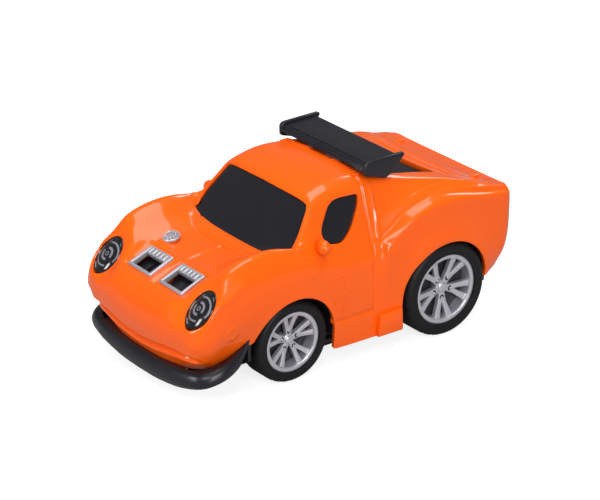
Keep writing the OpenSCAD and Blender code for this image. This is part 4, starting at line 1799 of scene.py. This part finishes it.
@dataclass
class RearWing:
    """Wing blade on two posts, between end plates."""

    half: float = 14.4
    ticks: int = 22

    def build(self) -> None:
        """Builds the wing."""
        top = smooth_line([(5.5, 41.0), (6.2, 41.75), (9, 42.05), (12, 42.1), (14.6, 42.15)], 4)
        under = smooth_line([(14.7, 41.75), (11, 41.3), (8, 40.85), (6, 40.65), (5.5, 40.8)], 4)
        blade = Bench.prism("blade", [*top, *under], -self.half, self.half)
        lip = Bench.prism("lip", [(5.0, 40.75), (5.5, 40.5), (6.6, 40.9), (6.4, 41.5), (5.3, 41.3)],
                          -self.half, self.half)
        Bench.bevel(lip, 0.12, 2)
        parts = [blade, lip]
        plate = [(5.2, 39.7), (5.15, 41.8), (5.6, 42.45), (6.3, 42.6), (15.2, 42.8), (15.85, 42.55),
                 (15.7, 41.9), (14.6, 40.9),
                 (12.0, 38.5), (11.0, 37.95), (10.4, 38.0), (5.8, 39.4)]
        for low in (self.half - 0.1, -self.half - 0.9):
            end = Bench.prism("end_plate", plate, low, low + 1.0)
            Bench.bevel(end, 0.3, 3)
            parts.append(end)
        for x in np.linspace(1.4 - self.half, self.half - 1.4, self.ticks):
            tick = Bench.block("tick", (0.7, 0.5, 0.26), (x, 6.75, 41.95))
            Bench.bevel(tick, 0.08, 1)
            parts.append(tick)
        for x in (-5, 5):
            post = Bench.block("post", (1.6, 3.2, 1.6), (x, 8.8, 40.3))
            Bench.bevel(post, 0.2, 2)
            parts.append(post)
        wing = Bench.join("rear_wing_blade", parts)
        Bench.smooth(wing, 38)
        place(dress(wing, Finishes.BLACK), "car", ["rear_wing"])


@dataclass
class EngineLouvre:
    """Slatted cover set into the deck behind the wing."""

    slats: int = 7
    pitch: float = 2.1

    def build(self) -> None:
        """Builds the cover."""
        w, l = Layout.LOUVRE_SIZE
        base = Bench.block("base", (w + 1.0, l + 1.6, 1.0), (0, 0, -2.0))
        parts = [base]
        for i in range(self.slats):
            slat = Bench.prism("slat", [(-1.1, -1.5), (1.0, -1.0), (1.05, -0.35), (0.5, -0.2),
                                        (-1.1, -1.1)], -w / 2 + 0.35, w / 2 - 0.35)
            middle = (i - (self.slats - 1) / 2) * self.pitch
            slat.data.transform(Matrix.Translation((0, middle * MM, 0)))
            Bench.bevel(slat, 0.15, 2)
            parts.append(slat)
        cover = Bench.join("engine_louvre_cover", parts)
        cover.data.transform(Layout.LOUVRE.matrix())
        Bench.smooth(cover, 38)
        place(dress(cover, Finishes.BLACK), "car", ["engine_louvre"])


@dataclass
class Chassis:
    """Base plate with the front lip, axle posts and tail apron, and its two screws."""

    base_z: float = 2.8
    base_thick: float = 1.6
    lip_wall: float = 1.5
    lip_top: tuple = ((0, -42.9, 8.2), (6, -42.8, 8.2), (12.8, -42.2, 8.3), (19.0, -40.4, 8.8),
                      (21.2, -36.4, 9.6), (20.9, -31.8, 11.2), (19.9, -28.0, 13.4))
    lip_mid: tuple = ((0, -43.9, 5.6), (7, -43.7, 5.6), (14.4, -42.9, 5.7), (20.4, -40.8, 6.1),
                      (22.1, -36.4, 7.0), (21.4, -31.8, 8.6), (19.9, -28.4, 11.4))
    lip_low: tuple = ((0, -42.5, 3.3), (7, -42.2, 3.3), (13.4, -40.8, 3.4), (17.2, -38.0, 3.8),
                      (18.6, -34.2, 5.0), (19.1, -30.6, 7.2), (19.2, -28.1, 10.6))

    def lip(self) -> bpy.types.Object:
        """Front lip as a band of smooth sections with a thick wall.

        Returns:
            The lip.
        """
        lines = [smooth_line(k, 8) for k in (self.lip_top, self.lip_mid, self.lip_low)]
        rings = []
        for top, mid, low in zip(*lines):
            inward = np.array([-0.25 * np.sign(mid[0]) * min(1.0, abs(mid[0]) / 12), 1.0,
                               0]) * self.lip_wall
            if abs(mid[0]) > 17.5:
                inward = np.array([-self.lip_wall, 0.4, 0])
            bulge = mid - (top + low) / 2
            above = top + (mid - top) * 0.3 + bulge * 0.2
            below = mid + (low - mid) * 0.7 + bulge * 0.12
            outer = smooth_line([top, above, mid, below, low], 3)
            inner = [low + inward + np.array([0, 0, 1.2]), mid + inward, top + inward]
            rings.append(np.vstack([outer, inner]))
        n = len(rings[0])
        left = np.array(rings)
        right = left[:0:-1] * np.array([-1, 1, 1])
        rings = np.concatenate([right, left])
        count = len(rings)
        faces = [[i * n + j, i * n + (j + 1) % n, (i + 1) * n + (j + 1) % n, (i + 1) * n + j]
                 for i in range(count - 1) for j in range(n)]
        faces += [list(range(n))[::-1], [(count - 1) * n + j for j in range(n)]]
        lip = Bench.mesh("lip", rings.reshape(-1, 3), faces)
        Bench.tidy(lip)
        return lip

    def plate(self) -> bpy.types.Object:
        """Flat base plate, waisted between the wheels.

        Returns:
            The plate.
        """
        half = [(0, -41.6), (9, -39.6), (12.6, -36.5), (13.6, -33), (11.3, -29.5), (11.3, -6.0),
                (14.5, -6.0), (14.5, 11.4),
                (11.3, 11.4), (11.3, 34.9), (0, 34.9)]
        outline = mirrored_outline(half)
        plate = Bench.mesh("plate", np.array([(x, y, self.base_z) for x, y in outline]),
                           [range(len(outline))])
        Bench.extrude(plate, (0, 0, self.base_thick))
        Bench.bevel(plate, 0.25, 2)
        return plate

    def wheel_house(self, arch: tuple[float, float, float], inner: float,
                    outer: float) -> list[bpy.types.Object]:
        """Dark housing over one wheel: a curved roof and an inner wall with a slot for the axle.

        Args:
            arch: (y, z, radius) of the opening in the body.
            inner: X of the wall.
            outer: X where the roof ends.

        Returns:
            The two pieces.
        """
        y, z, r = arch
        turn = np.radians(np.linspace(-90, 90, 33))
        low_wall, low_roof = 4.8, z - 1.5
        under, top, slot_r = r + 0.1, r + 0.8, 1.9
        over = [(y + under * math.sin(a), z + under * math.cos(a)) for a in turn]
        back = [(y + top * math.sin(a), z + top * math.cos(a)) for a in turn[::-1]]
        rim = [(y - under, low_roof), *over, (y + under, low_roof), (y + top, low_roof), *back,
               (y - top, low_roof)]
        roof = Bench.prism("house_roof", rim, min(inner, outer), max(inner, outer))
        slot = [(y + slot_r * math.sin(a), z + slot_r * math.cos(a)) for a in turn[::-2]]
        side = [(y - top, low_wall), *back[::-1], (y + top, low_wall), (y + slot_r, low_wall), *slot,
                (y - slot_r, low_wall)]
        wall = Bench.prism("house_wall", side, inner - 0.3, inner + 0.3)
        return [roof, wall]

    def fittings(self) -> list[bpy.types.Object]:
        """Axle posts, wheel housings, side rails and the tail apron with its fins.

        Returns:
            The pieces.
        """
        parts = []
        for x in (-10, 10):
            post = Bench.prism("axle_post", [(-18.9, 4.2), (-14.5, 4.2), (-14.5, 10.2), (-15.4, 11.0),
                                             (-18.0, 11.0), (-18.9, 10.2)], x - 1, x + 1)
            Bench.bevel(post, 0.2, 2)
            parts.append(post)
        for arch, inner, outer in ((Layout.ARCH_FRONT, 11.3, 18.9), (Layout.ARCH_REAR, 11.6, 19.2)):
            for sign in (1, -1):
                parts += self.wheel_house(arch, sign * inner, sign * outer)
        for x in (-13.2, 13.2):
            rail = Bench.block("rail", (1.2, 16, 5), (x, 2.6, 6.7))
            Bench.bevel(rail, 0.2, 2)
            parts.append(rail)
        apron = Bench.prism("apron", [(34.6, 2.8), (36.8, 5.2), (38.4, 11.8), (37, 11.8), (35.4, 6.2),
                                      (34.6, 4.4)], -14.5, 14.5)
        Bench.bevel(apron, 0.3, 2)
        parts.append(apron)
        for x in (-9, -4.5, 0, 4.5, 9):
            fin = Bench.prism("fin", [(34.8, 3.2), (36.6, 4.6), (38.5, 10.6), (37.4, 11.2), (35.2, 4.6)],
                              x - 0.35, x + 0.35)
            Bench.bevel(fin, 0.12, 1)
            parts.append(fin)
        return parts

    def screws(self) -> bpy.types.Object:
        """Two cross-headed screws under the plate.

        Returns:
            The pair.
        """
        parts = []
        for y in Layout.SCREW_Y:
            head = Bench.rod("head", 1.7, (0, y, 3.65), (0, y, 2.95), 40, 1.5)
            Bench.bevel(head, 0.12, 2)
            shank = Bench.rod("shank", 0.72, (0, y, 3.6), (0, y, 11.6), 20)
            parts += [head, shank]
            for size in ((2.0, 0.42, 0.3), (0.42, 2.0, 0.3)):
                parts.append(Bench.block("slot", size, (0, y, 2.95)))
        return Bench.join("body_screw_pair", parts)

    def build(self) -> None:
        """Builds chassis and screws."""
        chassis = Bench.join("chassis_base", [self.lip(), self.plate(), *self.fittings()])
        Bench.smooth(chassis, 38)
        place(dress(chassis, Finishes.BLACK), "car", ["chassis"])
        screws = self.screws()
        Bench.smooth(screws, 38)
        place(dress(screws, Finishes.STEEL), "car", ["body_screws"])


@dataclass
class Wheelset:
    """One axle's pair of tyres and rims.

    The fields are the axle, its place along the car, the tyre's and the rim's radius, the X of
    the left wheel's outer face and the tyre's width.
    """

    axle: Axle
    y: float
    radius: float
    rim: float
    outer: float
    width: float

    FACE_DEPTH = 0.45  # from the tyre's outer face in to the rim's
    PAIRS = 5

    def tyre(self) -> bpy.types.Object:
        """Left tyre: rounded shoulders, side ring and shallow tread blocks.

        Returns:
            The tyre.
        """
        r, q, w, x = self.radius, self.rim, self.width, self.outer
        half = [(0, q + 0.05), (0.0, q + 0.35), (-0.12, q + 0.7), (0.02, q + 1.0), (-0.1, r - 0.9),
                (-0.35, r - 0.45), (-0.8, r - 0.15),
                (-1.25, r - 0.02), (-1.7, r), (-2.5, r), (-2.7, r - 0.12), (-2.9, r), (-3.6, r),
                (-3.8, r - 0.12), (-4.0, r)]
        rows = [(x - 0.02 + a, b) for a, b in half]
        rows += [(x - w + 1.3, r), (x - w + 0.6, r - 0.15), (x - w + 0.15, r - 0.7), (x - w, q + 0.9),
                 (x - w, q + 0.05)]
        steps = 120
        points = []
        for i in range(steps):
            a = math.tau * i / steps
            for j, (px, pr) in enumerate(rows):
                block = 6 <= j <= 14 and (i + (j // 3)) % 4 == 0
                pr = pr - (0.11 if block else 0.0)
                points.append((px, self.y + pr * math.sin(a), r + pr * math.cos(a)))
        n = len(rows)
        faces = [[i * n + j, ((i + 1) % steps) * n + j, ((i + 1) % steps) * n + (j + 1) % n,
                  i * n + (j + 1) % n]
                 for i in range(steps) for j in range(n)]
        tyre = Bench.mesh("tyre", np.array(points), faces)
        Bench.tidy(tyre)
        Bench.smooth(tyre, 40)
        return tyre

    def barrel(self) -> bpy.types.Object:
        """Rim barrel with its outer lip.

        Returns:
            The barrel.
        """
        q, f = self.rim, self.outer - self.FACE_DEPTH
        back = self.outer - self.width + 0.4
        profile = [(back, q), (f - 0.15, q), (f - 0.03, q - 0.1), (f, q - 0.25), (f, q - 0.85),
                   (f - 0.1, q - 1.0), (f - 0.3, q - 1.06), (f - 1.0, q - 1.08),
                   (f - 2.6, q - 1.15), (back + 0.8, q - 1.25), (back, q - 0.9)]
        return Bench.lathe("barrel", profile, (self.y, self.radius), 96)

    def depth(self, r: float) -> float:
        """Where the spokes' outer face lies: highest at the ring, lowest round the bolts.

        Args:
            r: distance from the axle.

        Returns:
            X of the face.
        """
        f = self.outer - self.FACE_DEPTH
        share = min(max((r / self.rim - 0.25) / 0.65, 0), 1)
        return f - 1.25 + 0.75 * share**1.5

    def spokes(self) -> bpy.types.Object:
        """One pair of spokes that leave a common root, pointing up.

        Returns:
            The pair.
        """
        root = [(0.1, 0.07), (0.2, 0.1), (0.3, 0.12), (0.38, 0.135), (0.44, 0.15)]
        prongs = [(0.53, 0.03, 0.185), (0.64, 0.06, 0.225), (0.76, 0.09, 0.275), (0.86, 0.11, 0.325),
                  (0.93, 0.11, 0.37)]
        flat = [(sign * w, z) for z, w in root for sign in (-1, 0, 1)]
        base = len(flat)
        flat += [(k, z) for z, inner, outer in prongs for k in (-outer, -inner, inner, outer)]
        faces = [[3 * i + j, 3 * i + j + 1, 3 * i + j + 4, 3 * i + j + 3] for i in range(len(root) - 1)
                 for j in (0, 1)]
        last = base - 3
        faces += [[last, last + 1, base + 1, base], [last + 1, last + 2, base + 3, base + 2]]
        faces += [[base + 4 * i + j, base + 4 * i + j + 1, base + 4 * i + j + 5, base + 4 * i + j + 4]
                  for i in range(len(prongs) - 1) for j in (0, 2)]
        q = self.rim
        points = [(self.depth(q * math.hypot(y, z)), self.y + q * y, self.radius + q * z) for y, z in flat]
        pair = Bench.mesh("spokes", np.array(points), faces)
        Bench.tidy(pair)
        normal = sum((f.normal.x for f in pair.data.polygons), 0.0)
        if normal < 0:
            pair.data.flip_normals()
        Bench.modify(pair, "SOLIDIFY", thickness=1.2 * MM, offset=-1)
        Bench.bevel(pair, 0.16, 2, 50)
        return pair

    def bolt_spots(self) -> list[tuple[float, float]]:
        """(y, z) of the five bolts, one on each pair's root."""
        r = 0.3 * self.rim
        angles = [math.tau * k / self.PAIRS + self.start for k in range(self.PAIRS)]
        return [(self.y + r * math.sin(a), self.radius + r * math.cos(a)) for a in angles]

    @property
    def start(self) -> float:
        """Angle of the first pair of spokes from straight up."""
        return 0.0 if self.axle is Axle.FRONT else math.pi

    def hub(self) -> list[bpy.types.Object]:
        """Hub disc, centre cap and five bolts.

        Returns:
            The pieces.
        """
        f = self.depth(0)
        c = (self.y, self.radius)
        q = self.rim
        profile = [(f - 3.4, 0.0), (f - 3.4, 0.2 * q), (f - 0.2, 0.2 * q), (f - 0.06, 0.18 * q),
                   (f - 0.02, 0.15 * q),
                   (f + 0.22, 0.14 * q), (f + 0.32, 0.12 * q), (f + 0.34, 0.0)]
        disc = Bench.lathe("hub", profile, c, 48, closed=False)
        parts = [disc]
        for y, z in self.bolt_spots():
            bolt = Bench.rod("bolt", 0.045 * q, (f - 0.5, y, z), (f + 0.3, y, z), 14, 0.036 * q)
            Bench.bevel(bolt, 0.06, 1)
            parts.append(bolt)
        return parts

    def wheel(self) -> bpy.types.Object:
        """Left rim: barrel, five pairs of spokes, hub and bolts.

        Returns:
            The rim.
        """
        pair = self.spokes()
        parts = [self.barrel(), *self.hub()]
        centre = (0, self.y, self.radius)
        for k in range(self.PAIRS):
            parts.append(Bench.turned(pair, -360 / self.PAIRS * k - math.degrees(self.start), centre))
        bpy.data.objects.remove(pair)
        rim = Bench.join("rim", parts)
        Bench.smooth(rim, 40)
        return rim

    def backing(self) -> bpy.types.Object:
        """Dish behind the spokes, with discs round the bolts; both are dark as painted shade, for the
        shade deep between the spokes and in the wells round the bolts.

        Returns:
            The dish.
        """
        f = self.outer - self.FACE_DEPTH
        c = (self.y, self.radius)
        q = self.rim - 1.15
        profile = [(f - 3.2, 1.7), (f - 2.9, 2.4), (f - 3.0, q * 0.75), (f - 2.8, q * 0.8), (f - 2.8, q),
                   (f - 3.9, q), (f - 3.9, 1.7)]
        dish = Bench.lathe("dish", profile, c, 64)
        face, well_r = self.depth(0), 0.082 * self.rim
        # Dark discs round the bolts: painted shade for the wells there.
        well = [(face - 0.3, 0), (face - 0.3, well_r), (face + 0.03, well_r), (face + 0.03, 0)]
        wells = [Bench.lathe("well", well, spot, 20, closed=False) for spot in self.bolt_spots()]
        dish = Bench.join("dish", [dish, *wells])
        Bench.smooth(dish, 38)
        return dish

    def build(self) -> None:
        """Builds both wheels of the axle."""
        body = f"{self.axle.value}_wheelset"
        jobs = ((self.tyre, "tyre", Finishes.TYRE, Slot.TYRE, True),
                (self.wheel, "rim", Finishes.RIM, Slot.RIM, True),
                # The dish's dark colour is painted shade, not a part's own colour.
                (self.backing, "dish", Finishes.RECESS, Slot.BLACK, False))
        for make, part, finish, slot, node in jobs:
            left = make()
            right = Bench.mirrored(left, f"{self.axle.value}_{part}_right_shape")
            left.name = f"{self.axle.value}_{part}_left_shape"
            for piece, side in ((left, Side.LEFT), (right, Side.RIGHT)):
                replaced = [f"{self.axle.value}_{part}_{side.tag}"] if node else []
                place(dress(piece, finish), body, replaced)


class Works:
    """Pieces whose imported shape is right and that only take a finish."""

    FINISHES = {
        "front_axle": (Finishes.STEEL, Slot.STEEL), "rear_axle": (Finishes.STEEL, Slot.STEEL),
                "axle_pinion": (Finishes.GEAR, Slot.GEAR),
        "motor_case_left": (Finishes.CASE, Slot.CASE), "motor_case_right": (Finishes.CASE, Slot.CASE),
        "spring_gear": (Finishes.GEAR, Slot.GEAR), "mainspring": (Finishes.STEEL, Slot.STEEL),
                "spring_arbor": (Finishes.STEEL, Slot.STEEL),
        "clutch_gear": (Finishes.GEAR, Slot.GEAR), "clutch_arbor": (Finishes.STEEL, Slot.STEEL),
    }

    @classmethod
    def build(cls, nodes: dict) -> None:
        """Dresses the axles and the motor.

        Args:
            nodes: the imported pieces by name.
        """
        for name, (finish, slot) in cls.FINISHES.items():
            dress(nodes[name], finish)


@dataclass
class Studio:
    """Pale floor, soft lights and the camera."""

    target: tuple = (0, -0.4, 18.946)
    azimuth: float = 53.38
    elevation: float = 23.901
    distance: float = 552.97
    lens: float = 153.888

    def camera(self) -> None:
        """Puts the camera at its viewing angle."""
        data = bpy.data.cameras.new("camera")
        data.lens, data.sensor_width = self.lens, 36
        data.clip_start, data.clip_end = 0.01, 20
        camera = bpy.data.objects.new("camera", data)
        bpy.context.scene.collection.objects.link(camera)
        a, e = math.radians(self.azimuth), math.radians(self.elevation)
        back = Vector((math.sin(a) * math.cos(e), -math.cos(a) * math.cos(e), math.sin(e)))
        camera.rotation_mode = "QUATERNION"
        camera.location = Vector(self.target) * MM + back * self.distance * MM
        camera.rotation_quaternion = (-back).to_track_quat("-Z", "Y")
        bpy.context.scene.camera = camera

    def light(self, name: str, at: Sequence[float], size: tuple[float, float], power: float) -> None:
        """Adds one soft box that faces the car.

        Args:
            name: name of the light.
            at: its place in metres.
            size: its two sides in metres.
            power: its power in watts.
        """
        data = bpy.data.lights.new(name, "AREA")
        data.shape, data.size, data.size_y = "RECTANGLE", *size
        data.energy = power
        lamp = bpy.data.objects.new(name, data)
        bpy.context.scene.collection.objects.link(lamp)
        lamp.location = at
        lamp.rotation_mode = "QUATERNION"
        lamp.rotation_quaternion = (Vector((0, 0, 0.02)) - Vector(at)).to_track_quat("-Z", "Y")

    def floor(self) -> None:
        """Adds the floor."""
        Bench.clear()
        bpy.ops.mesh.primitive_plane_add(size=6, location=(0, 0, 0))
        floor = bpy.context.active_object
        floor.name = "floor"
        dress(floor, Finishes.FLOOR)

    def build(self) -> None:
        """Builds the whole set."""
        self.camera()
        self.floor()
        self.light("key", (0.0, 0.05, 0.75), (0.5, 0.42), 3.5)
        self.light("corner_box", (0.5, -0.5, 0.62), (0.45, 0.3), 3.0)
        self.light("left_strip", (0.85, -0.12, 0.32), (0.09, 0.5), 3.5)
        self.light("front_box", (-0.15, -0.8, 0.3), (0.2, 0.3), 2.4)
        self.light("back", (-0.3, 0.6, 0.5), (0.2, 0.2), 1.0)
        world = bpy.data.worlds.new("studio")
        world.use_nodes = True
        world.node_tree.nodes["Background"].inputs["Color"].default_value = (1, 1, 1, 1)
        world.node_tree.nodes["Background"].inputs["Strength"].default_value = 0.18
        bpy.context.scene.world = world
        bpy.context.scene.view_settings.view_transform = "Standard"


def main() -> None:
    """Builds the car and its set."""
    logging.basicConfig(level=logging.INFO, format="%(message)s")
    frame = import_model()
    form = BodyForm()
    Studio().build()
    Body(form).build()
    Windows(form).build()
    Lamps(form).build()
    HoodVents().build()
    RearWing().build()
    EngineLouvre().build()
    Chassis().build()
    Wheelset(Axle.FRONT, Layout.FRONT_Y, Layout.FRONT_RADIUS, rim=6.83, outer=19.8, width=7.4).build()
    Wheelset(Axle.REAR, Layout.REAR_Y, Layout.REAR_RADIUS, rim=8.03, outer=21.3, width=8.3).build()
    Works.build(frame["nodes"])
    Bench.clear()


if __name__ == "__main__":
    main()
